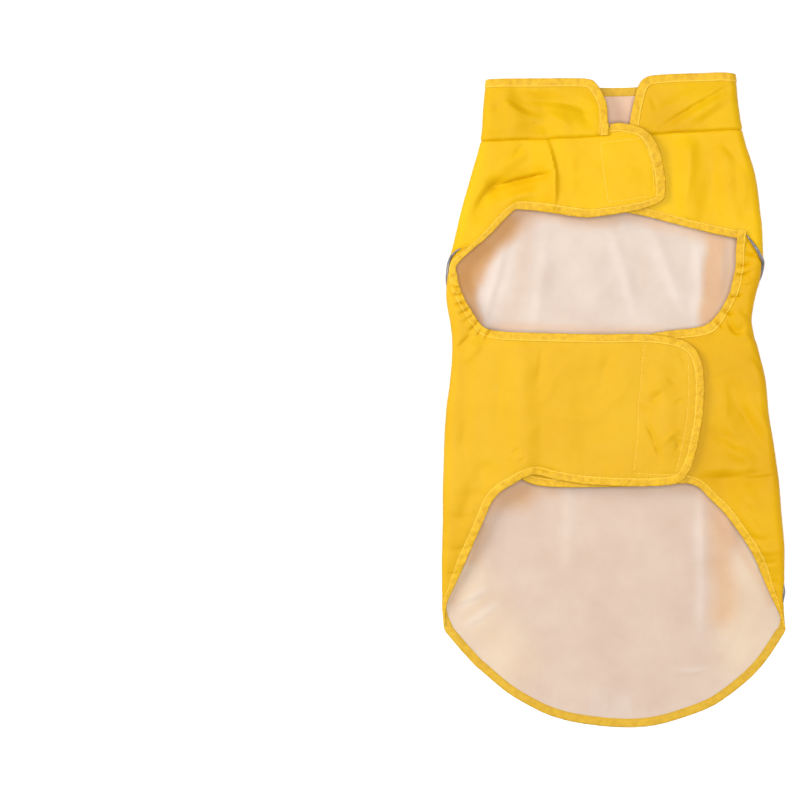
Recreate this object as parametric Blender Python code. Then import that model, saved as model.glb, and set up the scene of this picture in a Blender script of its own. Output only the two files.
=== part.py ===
"""Dog raincoat of coated cloth, laid flat with its belly side up.

The back lies on the floor, both sides turn up in a round fold, and chest and belly flaps
close on top, the left flaps over the right ones. +X is the wearer's side at the viewer's
right, +Y points to the collar and +Z up. Tables are in millimetres.

Every piece is cut from one sheet that is wrapped round the wearer. A place on that sheet
is (girth, y): girth runs along the cloth from the middle of the back, + to the right.
"""
import math
from collections import namedtuple

import bmesh
import bpy
from mathutils import Vector

MM = 0.001

# Cloth and trim
WALL = 1.0                    # coated cloth
SEAM_GAP = 0.3                # between the edges of two sewn pieces
TAPE_WIDTH = 6.5              # binding tape, border to inner edge
TAPE = 2.4                    # the tape's two leaves with the cloth's edge between them
PIPING_RADIUS = 1.25
PIPING_GAP = 0.45             # from the piping to the cloth on each side
PATCH = 1.0                   # hook or loop patch
OVER_LIFT = 4.3               # left flaps above right flaps, with both patches between
LIFT_RUN = 20.0               # length of cloth over which a left flap rises
LIFT_LEAD = 4.0               # and it is up this far before the right flap's end
TAPE_END_WIDTH = 2.0          # the side tapes narrow to this at the hem
TAPE_TAPER = 0.12             # and widen again by this much for each mm from it
TAPE_START = 0.6              # cloth that shows before the right chest tape starts

# How the wrapped sheet is divided
BACK_COLUMNS = 4              # from the middle of the back to a side fold
FOLD_COLUMNS = 4              # round a side fold
TOP_COLUMNS = 18              # across the belly side
ROW = 14.0                    # height of a row
FOLD_BORDERS = (-BACK_COLUMNS - FOLD_COLUMNS, -BACK_COLUMNS,
                BACK_COLUMNS, BACK_COLUMNS + FOLD_COLUMNS)
SNAP = 0.004                  # of a column or row: closer than this is on the line
CROSSING_HALVINGS = 24        # to find where an edge crosses a fold's border
PROBE_COLUMNS = 0.05          # the sheet's slope is taken over this part of a column
PROBE = 0.5                   # and over this height
SHARPEST_CORNER = 0.5         # cosine that limits how far an inset corner moves
SHARP_EDGE = math.radians(35)
BEND_STEP = math.radians(28)  # a curved edge turns this much from point to point
STRAIGHT_STEP = 24.0          # and has a point at least this often

# Outline of the coat at each height: its left and right side, and the side folds' radius
Section = namedtuple("Section", "y left right fold")
SECTIONS = [
    Section(246.0, -95.6, 91.0, 5.3),
    Section(217.7, -97.7, 93.5, 5.4),
    Section(194.5, -99.4, 97.8, 5.5),
    Section(171.2, -106.0, 105.0, 5.6),
    Section(147.2, -112.7, 109.0, 5.6),
    Section(123.2, -118.5, 111.3, 5.6),
    Section(99.2, -124.4, 111.4, 5.6),
    Section(75.2, -125.1, 105.4, 5.6),
    Section(58.0, -122.2, 103.6, 5.6),
    Section(39.2, -120.9, 108.0, 5.6),
    Section(15.0, -122.6, 113.4, 5.6),
    Section(-8.8, -125.5, 116.0, 5.6),
    Section(-44.8, -127.4, 121.4, 5.6),
    Section(-80.8, -127.8, 125.4, 5.6),
    Section(-112.0, -128.4, 127.7, 4.6),
    Section(-134.8, -128.6, 127.9, 2.8),
    Section(-152.8, -128.9, 128.2, 1.7),
    Section(-170.0, -131.0, 132.0, 1.5),
    Section(-250.0, -131.0, 132.0, 1.5),
]

# The belly side sags between its folds, and rests there in broad creases.
# A crease is a soft ridge, or a trough where its height is negative.
SAG = 2.4
SAG_RUN = 45.0
SIDE_RUN = 14.0
Crease = namedtuple("Crease", "x1 y1 x2 y2 width height")
CREASES = [
    Crease(-72, 223, -30, 216, 15, -1.5),     # left of the collar
    Crease(-84, 232, -74, 208, 12, 1.6),
    Crease(81, 231, 46, 209, 13, 1.9),        # right of the collar
    Crease(-54, 190, -46, 147, 13, 2.6),      # left chest
    Crease(-56, 166, -88, 160, 12, -2.0),
    Crease(-92, 158, -103, 141, 12, -1.8),
    Crease(54, 186, 57, 141, 14, 2.0),        # right chest
    Crease(82, 182, 88, 140, 13, 1.5),
    Crease(-101, 38, -100, -40, 14, 1.6),     # belly band
    Crease(-70, 36, -68, -50, 15, 1.8),
    Crease(-14, 38, -16, -52, 24, -0.8),
    Crease(34, 18, 40, -46, 14, 1.4),
    Crease(90, 6, 112, -46, 14, -1.6),        # right belly
    Crease(94, -62, 112, -108, 13, 1.5),      # flanks
    Crease(-106, -68, -117, -116, 12, -1.4),
]

# Where the left flaps lie on the right ones: the right flaps' ends at chest and belly,
# and the heights between which the left pieces come down again.
UNDER_CHEST_END = -31.0
UNDER_BELLY_END = -78.0
CHEST_TO_BELLY = (130.0, 70.0)
LIFT_IN_COLLAR = (206.0, 234.0)
LIFT_IN_FLANK = (-68.0, -96.0)

# Borders of the bound edges, seen from above: (x, y)
LEFT_CHEST_EDGE = [
    (-2.8, 205.7), (5.0, 207.2), (17.0, 205.0), (24.5, 201.2), (31.3, 193.0), (35.8, 180.2),
    (38.0, 168.2), (38.4, 158.5), (33.9, 151.0), (20.0, 143.5), (5.0, 139.7), (-10.0, 137.5),
    (-25.0, 136.7), (-55.0, 141.2), (-71.5, 142.7), (-81.2, 136.0), (-92.5, 124.0),
    (-107.5, 111.2), (-117.6, 100.7),
]
LEFT_BELLY_EDGE = [
    (-117.2, 93.2), (-114.6, 82.7), (-109.7, 72.2), (-102.2, 60.2), (-96.2, 54.2),
    (-85.0, 51.6), (-62.5, 50.5), (-10.0, 49.4), (14.0, 49.7), (31.3, 49.0), (46.3, 46.4),
    (55.3, 43.0), (61.3, 37.7), (65.0, 29.5), (66.9, 18.2), (66.5, -7.3), (63.5, -26.8),
    (59.8, -43.3), (54.5, -55.6), (47.0, -62.0), (35.0, -63.9), (16.3, -64.4), (-2.5, -63.9),
    (-25.0, -62.4), (-45.2, -58.8), (-58.0, -55.7), (-67.0, -57.9), (-76.0, -63.1),
    (-85.0, -68.8), (-91.7, -77.0), (-99.2, -94.3), (-107.1, -112.3), (-114.6, -128.8),
    (-120.6, -140.8), (-124.7, -152.8),
]
RIGHT_CHEST_EDGE = [
    (10.3, 201.6), (-2.5, 202.0), (-17.5, 200.9), (-25.7, 196.0), (-30.2, 186.2),
    (-31.0, 172.7), (-29.5, 159.2), (-22.7, 150.2), (-10.0, 145.0), (11.0, 140.1),
    (27.5, 136.7), (50.0, 130.7), (72.5, 125.1), (91.7, 121.0),
]
RIGHT_BELLY_EDGE = [
    (90.9, 108.2), (89.4, 93.2), (86.4, 80.5), (81.5, 70.7), (75.9, 62.5), (69.5, 56.9),
    (59.8, 54.2), (44.0, 52.4), (27.5, 49.7), (14.0, 45.6), (-10.0, 43.7), (-55.0, 43.0),
    (-68.5, 40.7), (-75.6, 32.5), (-78.2, 16.7), (-78.2, -22.3), (-76.3, -43.3),
    (-72.2, -56.0), (-67.0, -60.1), (-59.5, -63.1), (-47.5, -64.8), (-25.0, -65.2),
    (12.5, -64.6), (35.0, -63.5), (50.0, -62.4), (57.5, -62.8), (64.3, -66.1), (72.5, -74.4),
    (82.3, -84.1), (92.8, -98.0), (101.8, -111.5), (110.4, -129.9), (117.5, -146.0),
    (123.5, -157.3), (125.0, -160.3),
]
COLLAR_RIGHT_EDGE = [
    (11.6, 200.1), (12.0, 208.0), (13.3, 216.2), (15.9, 227.5), (17.8, 234.2), (21.5, 239.9),
    (28.3, 242.9), (46.3, 244.2), (66.5, 244.7), (84.5, 245.0),
]
COLLAR_BACK_EDGE = [
    (81.5, 242.1), (57.5, 238.4), (27.5, 235.4), (-0.2, 234.2), (-32.5, 235.0),
    (-62.5, 236.9), (-85.0, 239.1),
]
COLLAR_LEFT_EDGE = [
    (-87.2, 240.4), (-55.0, 240.8), (-28.7, 241.0), (-19.0, 240.2), (-13.0, 237.6),
    (-8.5, 233.5), (-5.8, 226.7), (-4.7, 216.2), (-4.9, 199.8),
]
HEM_EDGE = [
    (-126.9, -154.6), (-127.8, -163.3), (-127.0, -170.8), (-120.2, -182.8), (-101.5, -201.1),
    (-80.5, -218.4), (-62.5, -229.3), (-46.0, -236.8), (-25.0, -242.0), (3.5, -245.0),
    (29.0, -243.9), (54.5, -237.1), (76.3, -228.1), (96.5, -213.5), (110.0, -200.8),
    (120.5, -188.0), (128.6, -171.5), (127.4, -162.2),
]

# Seam between collar and back panel
COLLAR_SEAM_RIGHT = [(11.8, 199.0), (31.3, 199.4), (65.0, 201.1), (89.0, 202.4)]
COLLAR_SEAM_BACK = [
    (86.0, 200.9), (57.5, 195.2), (27.5, 190.7), (-0.2, 188.9), (-32.5, 188.9),
    (-62.5, 190.4), (-88.7, 193.0),
]
COLLAR_SEAM_LEFT = [(-92.5, 194.1), (-55.0, 195.6), (-17.5, 197.1), (-3.2, 199.1)]

# Piped seams between the back panel and the side panels. from_side runs along the cloth
# from the middle of the side fold, + up to the belly side.
PipedSeam = namedtuple("PipedSeam", "from_side y")
LEFT_PIPED_SEAM = [
    PipedSeam(8.0, 113.3), PipedSeam(5.1, 109.9), PipedSeam(2.2, 106.2), PipedSeam(0.9, 102.0),
    PipedSeam(0.6, 97.5), PipedSeam(-0.2, 92.5), PipedSeam(-1.8, 87.0), PipedSeam(-6.0, 81.0),
    PipedSeam(-12.0, 73.0), PipedSeam(-19.2, 61.7), PipedSeam(-24.5, 45.2),
    PipedSeam(-28.3, 22.7), PipedSeam(-32.4, -22.3), PipedSeam(-31.7, -74.8),
    PipedSeam(-26.0, -104.8), PipedSeam(-18.0, -124.0), PipedSeam(-9.0, -141.0),
    PipedSeam(-4.5, -152.2),
]
RIGHT_PIPED_SEAM = [
    PipedSeam(14.6, 122.4), PipedSeam(10.8, 117.6), PipedSeam(6.1, 109.4),
    PipedSeam(2.4, 102.6), PipedSeam(0.3, 96.2), PipedSeam(-2.0, 89.5), PipedSeam(-7.5, 81.0),
    PipedSeam(-14.0, 71.5), PipedSeam(-19.5, 60.5), PipedSeam(-24.2, 46.0),
    PipedSeam(-28.0, 26.0), PipedSeam(-30.5, 2.0), PipedSeam(-31.5, -37.3),
    PipedSeam(-26.0, -74.8), PipedSeam(-16.0, -104.8), PipedSeam(-7.0, -123.5),
    PipedSeam(-1.2, -139.0),
    PipedSeam(0.0, -148.5), PipedSeam(-0.6, -158.0),
]
LEFT_PIPING_TOP = 108.0       # heights at which the beads come out from under the tapes
RIGHT_PIPING_TOP = 112.5
PIPING_END = -151.0           # and at which both end by the hem
LEFT_TIP = 94.0               # heights of the side panels' upper tips
RIGHT_TIP = 119.5

# Hook and loop patches, seen from above: (x, y)
CHEST_PATCH = [
    (-10.7, 192.0), (17.5, 193.4), (27.2, 174.0), (28.0, 161.5), (24.8, 156.4), (-4.8, 153.4),
]
BELLY_PATCH = [
    (20.8, 39.0), (50.5, 35.6), (57.0, 26.0), (58.4, 14.0), (57.0, -9.0), (50.5, -42.0),
    (44.5, -53.0), (15.2, -55.0),
]

Finish = namedtuple("Finish", "color roughness")
FINISHES = {
    "coated_cloth": Finish((0.93, 0.54, 0.035), 0.42),
    "binding_tape": Finish((0.80, 0.46, 0.045), 0.55),
    "reflective_piping": Finish((0.38, 0.36, 0.35), 0.30),
    "hook_and_loop": Finish((0.78, 0.47, 0.06), 0.85),
}


# ---------------------------------------------------------------- the wrapped sheet

Wrap = namedtuple("Wrap", "flat radius across")


def smoothstep(value, start, end):
    """0 at start, 1 at end, with a soft curve between."""
    share = min(1.0, max(0.0, (value - start) / (end - start)))
    return share * share * (3.0 - 2.0 * share)


def slope(rows, index, column):
    """Slope of a column of SECTIONS at one of its rows."""
    above = rows[max(index - 1, 0)]
    below = rows[min(index + 1, len(rows) - 1)]
    return (getattr(below, column) - getattr(above, column)) / (below.y - above.y)


def section_at(y):
    """Left side, right side and fold radius at a height, on smooth curves through SECTIONS."""
    y = min(SECTIONS[0].y, max(SECTIONS[-1].y, y))
    index = next(i for i in range(len(SECTIONS) - 1) if y >= SECTIONS[i + 1].y)
    top, low = SECTIONS[index], SECTIONS[index + 1]
    drop = low.y - top.y
    t = (y - top.y) / drop
    values = []
    for column in ("left", "right", "fold"):
        a, b = getattr(top, column), getattr(low, column)
        slope_a = slope(SECTIONS, index, column) * drop
        slope_b = slope(SECTIONS, index + 1, column) * drop
        values.append((2 * t**3 - 3 * t**2 + 1) * a + (t**3 - 2 * t**2 + t) * slope_a
                      + (3 * t**2 - 2 * t**3) * b + (t**3 - t**2) * slope_b)
    return values


def wrap_at(y, side):
    """Flat half width under the coat, fold radius, and width across the belly side."""
    left, right, fold = section_at(y)
    right_flat = right - WALL / 2 - fold
    left_flat = -left - WALL / 2 - fold
    return Wrap(right_flat if side > 0 else left_flat, fold, right_flat + left_flat)


def side_of(value):
    return 1 if value >= 0 else -1


def column_at(girth, y):
    """Column of the sheet at a girth."""
    side = side_of(girth)
    wrap = wrap_at(y, side)
    turn = math.pi * wrap.radius
    along = abs(girth)
    if along <= wrap.flat:
        return side * along / wrap.flat * BACK_COLUMNS
    if along <= wrap.flat + turn:
        return side * (BACK_COLUMNS + (along - wrap.flat) / turn * FOLD_COLUMNS)
    across = (along - wrap.flat - turn) / wrap.across
    return side * (BACK_COLUMNS + FOLD_COLUMNS + across * TOP_COLUMNS)


def girth_on_top(x, y, side):
    """Girth of a place seen from above, on the left or right part of the belly side."""
    wrap = wrap_at(y, side)
    inward = wrap.flat - side * x
    if inward >= 0:
        return side * (wrap.flat + math.pi * wrap.radius + inward)
    angle = math.pi - math.asin(min(1.0, -inward / wrap.radius))
    return side * (wrap.flat + angle * wrap.radius)


def girth_from_side(from_side, y, side):
    """Girth of a place that is named by its distance from the middle of a side fold."""
    wrap = wrap_at(y, side)
    return side * (wrap.flat + math.pi / 2 * wrap.radius + from_side)


def crease_height(x, y):
    """Sum of the ridges and troughs at a place on the belly side."""
    height = 0.0
    for crease in CREASES:
        along = Vector((crease.x2 - crease.x1, crease.y2 - crease.y1))
        start = Vector((x - crease.x1, y - crease.y1))
        share = min(1.0, max(0.0, start.dot(along) / along.length_squared))
        distance = (start - share * along).length
        if distance < crease.width:
            height += crease.height * math.cos(math.pi / 2 * distance / crease.width) ** 2
    return height


def over_lift(x, y):
    """Height of the left pieces above the level of the right ones."""
    to_belly = smoothstep(y, *CHEST_TO_BELLY)
    end = UNDER_CHEST_END + (UNDER_BELLY_END - UNDER_CHEST_END) * to_belly
    lifted = smoothstep(x, end - LIFT_LEAD - LIFT_RUN, end - LIFT_LEAD)
    lowered = 1.0 - smoothstep(y, *LIFT_IN_COLLAR)
    return OVER_LIFT * lifted * lowered * (1.0 - smoothstep(y, *LIFT_IN_FLANK))


def sheet_place(column, y):
    """Middle of the wall at a column and height."""
    side = side_of(column)
    wrap = wrap_at(y, side)
    steps = abs(column)
    if steps <= BACK_COLUMNS:
        return Vector((column / BACK_COLUMNS * wrap.flat, y, WALL / 2))
    if steps <= BACK_COLUMNS + FOLD_COLUMNS:
        angle = math.pi * (steps - BACK_COLUMNS) / FOLD_COLUMNS
        x = wrap.flat + wrap.radius * math.sin(angle)
        return Vector((side * x, y, WALL / 2 + wrap.radius * (1 - math.cos(angle))))
    inward = (steps - BACK_COLUMNS - FOLD_COLUMNS) / TOP_COLUMNS * wrap.across
    x = side * (wrap.flat - inward)
    from_fold = min(inward, wrap.across - inward)
    level = smoothstep(from_fold, 0.0, SIDE_RUN) * crease_height(x, y)
    level -= SAG * smoothstep(from_fold, 0.0, SAG_RUN)
    if side < 0:
        level += over_lift(x, y)
    return Vector((x, y, WALL / 2 + 2 * wrap.radius + level))


def sheet_outward(column, y):
    """Direction out of the coat at a column and height."""
    across = sheet_place(column + PROBE_COLUMNS, y) - sheet_place(column - PROBE_COLUMNS, y)
    along = sheet_place(column, y + PROBE) - sheet_place(column, y - PROBE)
    return -across.cross(along).normalized()


class Sheet:
    """The wrapped sheet as flat triangles between its columns and rows.

    Pieces at different levels share these triangles, so they stay parallel.
    """

    def __init__(self):
        self.corners = {}

    def corner(self, column, row):
        """Place and outward direction at a crossing of column and row."""
        if (column, row) not in self.corners:
            y = row * ROW
            self.corners[column, row] = (sheet_place(column, y), sheet_outward(column, y))
        return self.corners[column, row]

    def point(self, column, row, level):
        """Point at a level above (+) or below (-) the middle of the wall."""
        low_column, low_row = math.floor(column), math.floor(row)
        right, up = column - low_column, row - low_row
        if right >= up:
            shares = ((0, 0, 1 - right), (1, 0, right - up), (1, 1, up))
        else:
            shares = ((0, 0, 1 - up), (0, 1, up - right), (1, 1, right))
        result = Vector((0.0, 0.0, 0.0))
        for across, along, share in shares:
            place, outward = self.corner(low_column + across, low_row + along)
            result += share * (place + level * outward)
        return result


SHEET = Sheet()


# ---------------------------------------------------------------- edges on the sheet

def on_top(points, side):
    """Points seen from above, as (girth, y) on one part of the belly side."""
    return [(girth_on_top(x, y, side), y) for x, y in points]


def rounded(points):
    """A smooth curve through the points, with more of its own where it bends."""
    points = [Vector(point) for point in points]
    ends = [2 * points[0] - points[1]] + points + [2 * points[-1] - points[-2]]
    curve = [points[0]]
    for before, start, end, after in zip(ends, ends[1:], ends[2:], ends[3:]):
        bend = (end - before).angle(after - start, 0.0)
        pieces = max(1, math.ceil(bend / BEND_STEP),
                     math.ceil((end - start).length / STRAIGHT_STEP))
        for piece in range(1, pieces + 1):
            t = piece / pieces
            curve.append(0.5 * (2 * start + (end - before) * t
                                + (2 * before - 5 * start + 4 * end - after) * t**2
                                + (3 * start - 3 * end + after - before) * t**3))
    return curve


def inset(curve, distances):
    """The curve moved to its left by a distance at each of its points."""
    moved = []
    for index, point in enumerate(curve):
        before = point - curve[index - 1] if index > 0 else curve[1] - curve[0]
        after = curve[index + 1] - point if index + 1 < len(curve) else before
        left = (before.normalized() + after.normalized()).orthogonal().normalized()
        if left.dot(Vector((-before.y, before.x))) < 0:
            left = -left
        corner = max(SHARPEST_CORNER, left.dot(Vector((-before.y, before.x)).normalized()))
        moved.append(point + left * distances[index] / corner)
    return moved


def moved_left(curve, distance):
    return inset(curve, [distance] * len(curve))


def nearest(curve, place):
    """Index of the curve's point nearest to a place."""
    return min(range(len(curve)), key=lambda index: (curve[index] - place).length)


def piped_seam(rows, side):
    """The line of a piped seam on the sheet, from its top to the hem."""
    return rounded([(girth_from_side(row.from_side, row.y, side), row.y) for row in rows])


def crossing(start, end, column):
    """Place on the straight line between two others where it crosses a column."""
    low, high = sorted((start, end), key=lambda point: column_at(point.x, point.y))
    for _ in range(CROSSING_HALVINGS):
        middle = (low + high) / 2
        if column_at(middle.x, middle.y) < column:
            low = middle
        else:
            high = middle
    return middle


def split_at_folds(points):
    """A line of places, with one more at each border of a side fold that it crosses."""
    result = [points[0]]
    for start, end in zip(points, points[1:]):
        first, last = column_at(start.x, start.y), column_at(end.x, end.y)
        crossed = [column for column in FOLD_BORDERS if min(first, last) < column < max(first, last)]
        result += [crossing(start, end, column) for column in sorted(crossed, reverse=first > last)]
        result.append(end)
    return result


def counterclockwise(outline):
    """The outline, turned so that it runs counterclockwise."""
    pairs = zip(outline, outline[1:] + outline[:1])
    area = sum(a.x * b.y - b.x * a.y for a, b in pairs)
    return outline if area > 0 else outline[::-1]


LEFT, RIGHT = -1, 1
PIPED_INSET = PIPING_RADIUS + PIPING_GAP    # cloth edge beside the middle of the piping

left_edge = rounded(on_top(LEFT_CHEST_EDGE, LEFT) + on_top(LEFT_BELLY_EDGE, LEFT))
right_edge = rounded(on_top(RIGHT_CHEST_EDGE, RIGHT) + on_top(RIGHT_BELLY_EDGE, RIGHT))
collar_edge = rounded(on_top(COLLAR_RIGHT_EDGE, RIGHT) + COLLAR_BACK_EDGE
                      + on_top(COLLAR_LEFT_EDGE, LEFT))
collar_seam = rounded(on_top(COLLAR_SEAM_RIGHT, RIGHT) + COLLAR_SEAM_BACK
                      + on_top(COLLAR_SEAM_LEFT, LEFT))
hem_edge = rounded(HEM_EDGE)
left_seam = piped_seam(LEFT_PIPED_SEAM, LEFT)
right_seam = piped_seam(RIGHT_PIPED_SEAM, RIGHT)


# ---------------------------------------------------------------- solids from the sheet

def cut_line_directions():
    """Columns, rows and the diagonals that split each cell of the sheet."""
    return ((Vector((1, 0, 0)), lambda v: v.co.x),
            (Vector((0, 1, 0)), lambda v: v.co.y),
            (Vector((1, -1, 0)), lambda v: v.co.x - v.co.y))


def is_raised(face):
    """Whether a face of the flat mesh lies past the flat back, where the sheet is curved."""
    return abs(face.calc_center_median().x) > BACK_COLUMNS


def cut_to_sheet(outlines):
    """Outlines on the sheet as a flat mesh in (column, row), cut at the sheet's lines."""
    flat = bmesh.new()
    corners = {}
    for outline in outlines:
        ring = []
        for point in split_at_folds(outline + outline[:1])[:-1]:
            key = (round(point.x, 3), round(point.y, 3))
            if key not in corners:
                corners[key] = flat.verts.new((column_at(point.x, point.y), point.y / ROW, 0.0))
            ring.append(corners[key])
        flat.faces.new(ring)
    faces = flat.faces[:]
    for direction, measure in cut_line_directions():
        values = [measure(vertex) for vertex in flat.verts]
        for step in range(math.ceil(min(values)), math.floor(max(values)) + 1):
            edges = {edge for face in faces for edge in face.edges}
            vertices = {vertex for face in faces for vertex in face.verts}
            bmesh.ops.bisect_plane(flat, geom=faces + list(edges) + list(vertices), dist=SNAP,
                                   plane_co=direction * step / direction.length_squared,
                                   plane_no=direction)
            faces = [face for face in flat.faces if direction.y == 0 or is_raised(face)]
        faces = [face for face in flat.faces if is_raised(face)]
    bmesh.ops.triangulate(flat, faces=flat.faces[:])
    flat.verts.index_update()
    return flat


def sheet_mesh(name, outlines, thickness, outside_at):
    """Closed mesh that fills outlines on the sheet, inward from its outside level."""
    flat = cut_to_sheet(outlines)
    solid = bmesh.new()
    inner, outer = [], []
    for vertex in flat.verts:
        column, row = vertex.co.x, vertex.co.y
        outside = outside_at(column)
        inner.append(solid.verts.new(SHEET.point(column, row, outside - thickness) * MM))
        outer.append(solid.verts.new(SHEET.point(column, row, outside) * MM))
    for face in flat.faces:
        corners = [vertex.index for vertex in face.verts]
        solid.faces.new([inner[corner] for corner in corners])
        solid.faces.new([outer[corner] for corner in reversed(corners)])
        for loop in face.loops:
            if loop.edge.is_boundary:
                start, end = loop.vert.index, loop.link_loop_next.vert.index
                solid.faces.new((outer[start], outer[end], inner[end], inner[start]))
    bmesh.ops.triangulate(solid, faces=[face for face in solid.faces if len(face.verts) > 3])
    mesh = bpy.data.meshes.new(name)
    solid.to_mesh(mesh)
    solid.free()
    flat.free()
    return mesh


def finish_material(name):
    """Principled material of one of the finishes."""
    material = bpy.data.materials.get(name)
    if material is None:
        material = bpy.data.materials.new(name)
        material.use_nodes = True
        shader = material.node_tree.nodes["Principled BSDF"]
        shader.inputs["Base Color"].default_value = (*FINISHES[name].color, 1.0)
        shader.inputs["Roughness"].default_value = FINISHES[name].roughness
        shader.inputs["Metallic"].default_value = 0.0
    return material


def add_piece(name, mesh, finish, coat):
    """Named object of one piece of the coat."""
    mesh.shade_smooth()
    mesh.set_sharp_from_angle(angle=SHARP_EDGE)
    mesh.materials.clear()
    mesh.materials.append(finish_material(finish))
    piece = bpy.data.objects.new(name, mesh)
    piece.parent = coat
    bpy.context.scene.collection.objects.link(piece)


def cloth_outside(column):
    return WALL / 2


def tape_outside(column):
    """Level of the tape's outside: on the floor under the back, proud of the cloth on top."""
    turned = smoothstep(abs(column), BACK_COLUMNS, BACK_COLUMNS + FOLD_COLUMNS)
    return WALL / 2 + turned * (TAPE - WALL) / 2


def add_panel(name, outline, coat):
    """Cloth panel with the given outline on the sheet."""
    mesh = sheet_mesh(name, [counterclockwise(outline)], WALL, cloth_outside)
    add_piece(name, mesh, "coated_cloth", coat)


def ribbon(first, second):
    """Four-sided outlines between two curves of equally many points."""
    quads = zip(first, first[1:], second[1:], second)
    return [counterclockwise(list(quad)) for quad in quads]


def add_tape(name, border, inner, coat):
    """Folded tape along a bound edge, from its border in to where the open cloth starts."""
    mesh = sheet_mesh(name, ribbon(border, inner), TAPE, tape_outside)
    add_piece(name, mesh, "binding_tape", coat)


def full_widths(border):
    return [TAPE_WIDTH] * len(border)


def narrowing_widths(border):
    """Tape widths along a side edge, which narrow at its end by the hem."""
    left_over = 0.0
    widths = [TAPE_END_WIDTH]
    for point, after in zip(border[-2::-1], border[:0:-1]):
        left_over += (after - point).length
        widths.append(min(TAPE_WIDTH, TAPE_END_WIDTH + TAPE_TAPER * left_over))
    return widths[::-1]


def cloth_edge(border, widths, inward):
    """Edge of the cloth beside a tape; inward is 1 where it lies to the border's left."""
    return inset(border, [inward * (width + SEAM_GAP) for width in widths])


def with_level_ends(inner, border):
    """The inner line with its two ends at the heights of the border's ends."""
    first = Vector((inner[0].x, border[0].y))
    last = Vector((inner[-1].x, border[-1].y))
    return [first] + inner[1:-1] + [last]


def hook_outside(column):
    """Hook patches lie under the left flaps."""
    return -WALL / 2 - SEAM_GAP


def loop_outside(column):
    """Loop patches lie on the right flaps."""
    return WALL / 2 + SEAM_GAP + PATCH


def add_patch(name, points, side, outside_at, coat):
    """Hook or loop patch on the inner or outer face of a flap."""
    outline = counterclockwise([Vector(point) for point in on_top(points, side)])
    add_piece(name, sheet_mesh(name, [outline], PATCH, outside_at), "hook_and_loop", coat)


# ---------------------------------------------------------------- piping

PIPING_SIDES = 6
PIPING_STEP = 6.0


def stretch(curve, step):
    """Points along a curve, about a step apart."""
    points = [curve[0]]
    for start, end in zip(curve, curve[1:]):
        pieces = max(1, round((end - start).length / step))
        points += [start.lerp(end, piece / pieces) for piece in range(1, pieces + 1)]
    return points


def piping_places(seam, top):
    """Columns and rows along a piped seam, from the height of its top to the hem."""
    corners = [Vector((column_at(point.x, point.y), point.y / ROW))
               for point in split_at_folds(seam)]
    places = stretch(corners, PIPING_STEP / ROW)
    return [place for place in places if PIPING_END <= place.y * ROW <= top]


def piping_centre(place):
    """Middle of the bead: proud of the cloth on the outside, but not below the floor."""
    middle = SHEET.point(place.x, place.y, 0.0)
    outward = SHEET.point(place.x, place.y, 1.0) - middle
    centre = middle + 0.5 * (1.0 + outward.z) * outward
    centre.z = max(centre.z, PIPING_RADIUS)
    return centre, outward


def add_piping(name, seam, top, coat):
    """Round bead that lies in a piped seam."""
    centres = [piping_centre(place) for place in piping_places(seam, top)]
    bead = bmesh.new()
    rings = []
    for index, (centre, outward) in enumerate(centres):
        before = centres[max(index - 1, 0)][0]
        after = centres[min(index + 1, len(centres) - 1)][0]
        along = (after - before).normalized()
        across = along.cross(outward).normalized()
        up = across.cross(along)
        ring = []
        for corner in range(PIPING_SIDES):
            angle = 2 * math.pi * (corner + 0.5) / PIPING_SIDES
            spoke = math.cos(angle) * across + math.sin(angle) * up
            ring.append(bead.verts.new((centre + PIPING_RADIUS * spoke) * MM))
        rings.append(ring)
    for ring, following in zip(rings, rings[1:]):
        for corner in range(PIPING_SIDES):
            beside = (corner + 1) % PIPING_SIDES
            bead.faces.new((ring[corner], ring[beside], following[beside], following[corner]))
    bead.faces.new(rings[0])
    bead.faces.new(rings[-1])
    bmesh.ops.recalc_face_normals(bead, faces=bead.faces[:])
    mesh = bpy.data.meshes.new(name)
    bead.to_mesh(mesh)
    bead.free()
    add_piece(name, mesh, "reflective_piping", coat)


# ---------------------------------------------------------------- the pieces

# Where the chest edges meet the piped seams, and where the side panels start below them
LEFT_BACK_CORNER = Vector((girth_on_top(-97.0, 120.2, LEFT), 120.2))
LEFT_SIDE_CORNER = Vector((girth_on_top(-116.8, 91.0, LEFT), 91.0))
RIGHT_BACK_CORNER = Vector((girth_on_top(91.7, 121.0, RIGHT), 121.0))
RIGHT_SIDE_CORNER = Vector((girth_on_top(91.0, 112.0, RIGHT), 112.0))
LEFT_TAPE_CORNER = Vector((girth_on_top(*LEFT_CHEST_EDGE[-1], LEFT), LEFT_CHEST_EDGE[-1][1]))


def back_panel_outline():
    """Back with both chest flaps in one piece: collar seam, left side, hem, right side."""
    top = [Vector((point.x, point.y - SEAM_GAP / 2)) for point in collar_seam]
    left = cloth_edge(left_edge, narrowing_widths(left_edge), 1)
    left = left[:nearest(left_edge, LEFT_BACK_CORNER) + 1]
    left_side = moved_left(left_seam, PIPED_INSET)
    hem = cloth_edge(hem_edge, full_widths(hem_edge), 1)
    right_side = moved_left(right_seam, -PIPED_INSET)
    right = cloth_edge(right_edge, narrowing_widths(right_edge), -1)
    right = right[:nearest(right_edge, RIGHT_BACK_CORNER) + 1]
    right[0] = right[0] + TAPE_START * (right[0] - right[1]).normalized()
    top = [point for point in top if left[0].x < point.x < right[0].x]
    return top + left + left_side + hem + right_side[::-1] + right[::-1]


def left_side_outline():
    """Left side with the belly flap that closes on top."""
    seam = moved_left(left_seam, -PIPED_INSET)
    seam = [point for point in seam if point.y <= LEFT_TIP]
    edge = cloth_edge(left_edge, narrowing_widths(left_edge), 1)
    return seam[::-1] + edge[nearest(left_edge, LEFT_SIDE_CORNER):]


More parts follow.
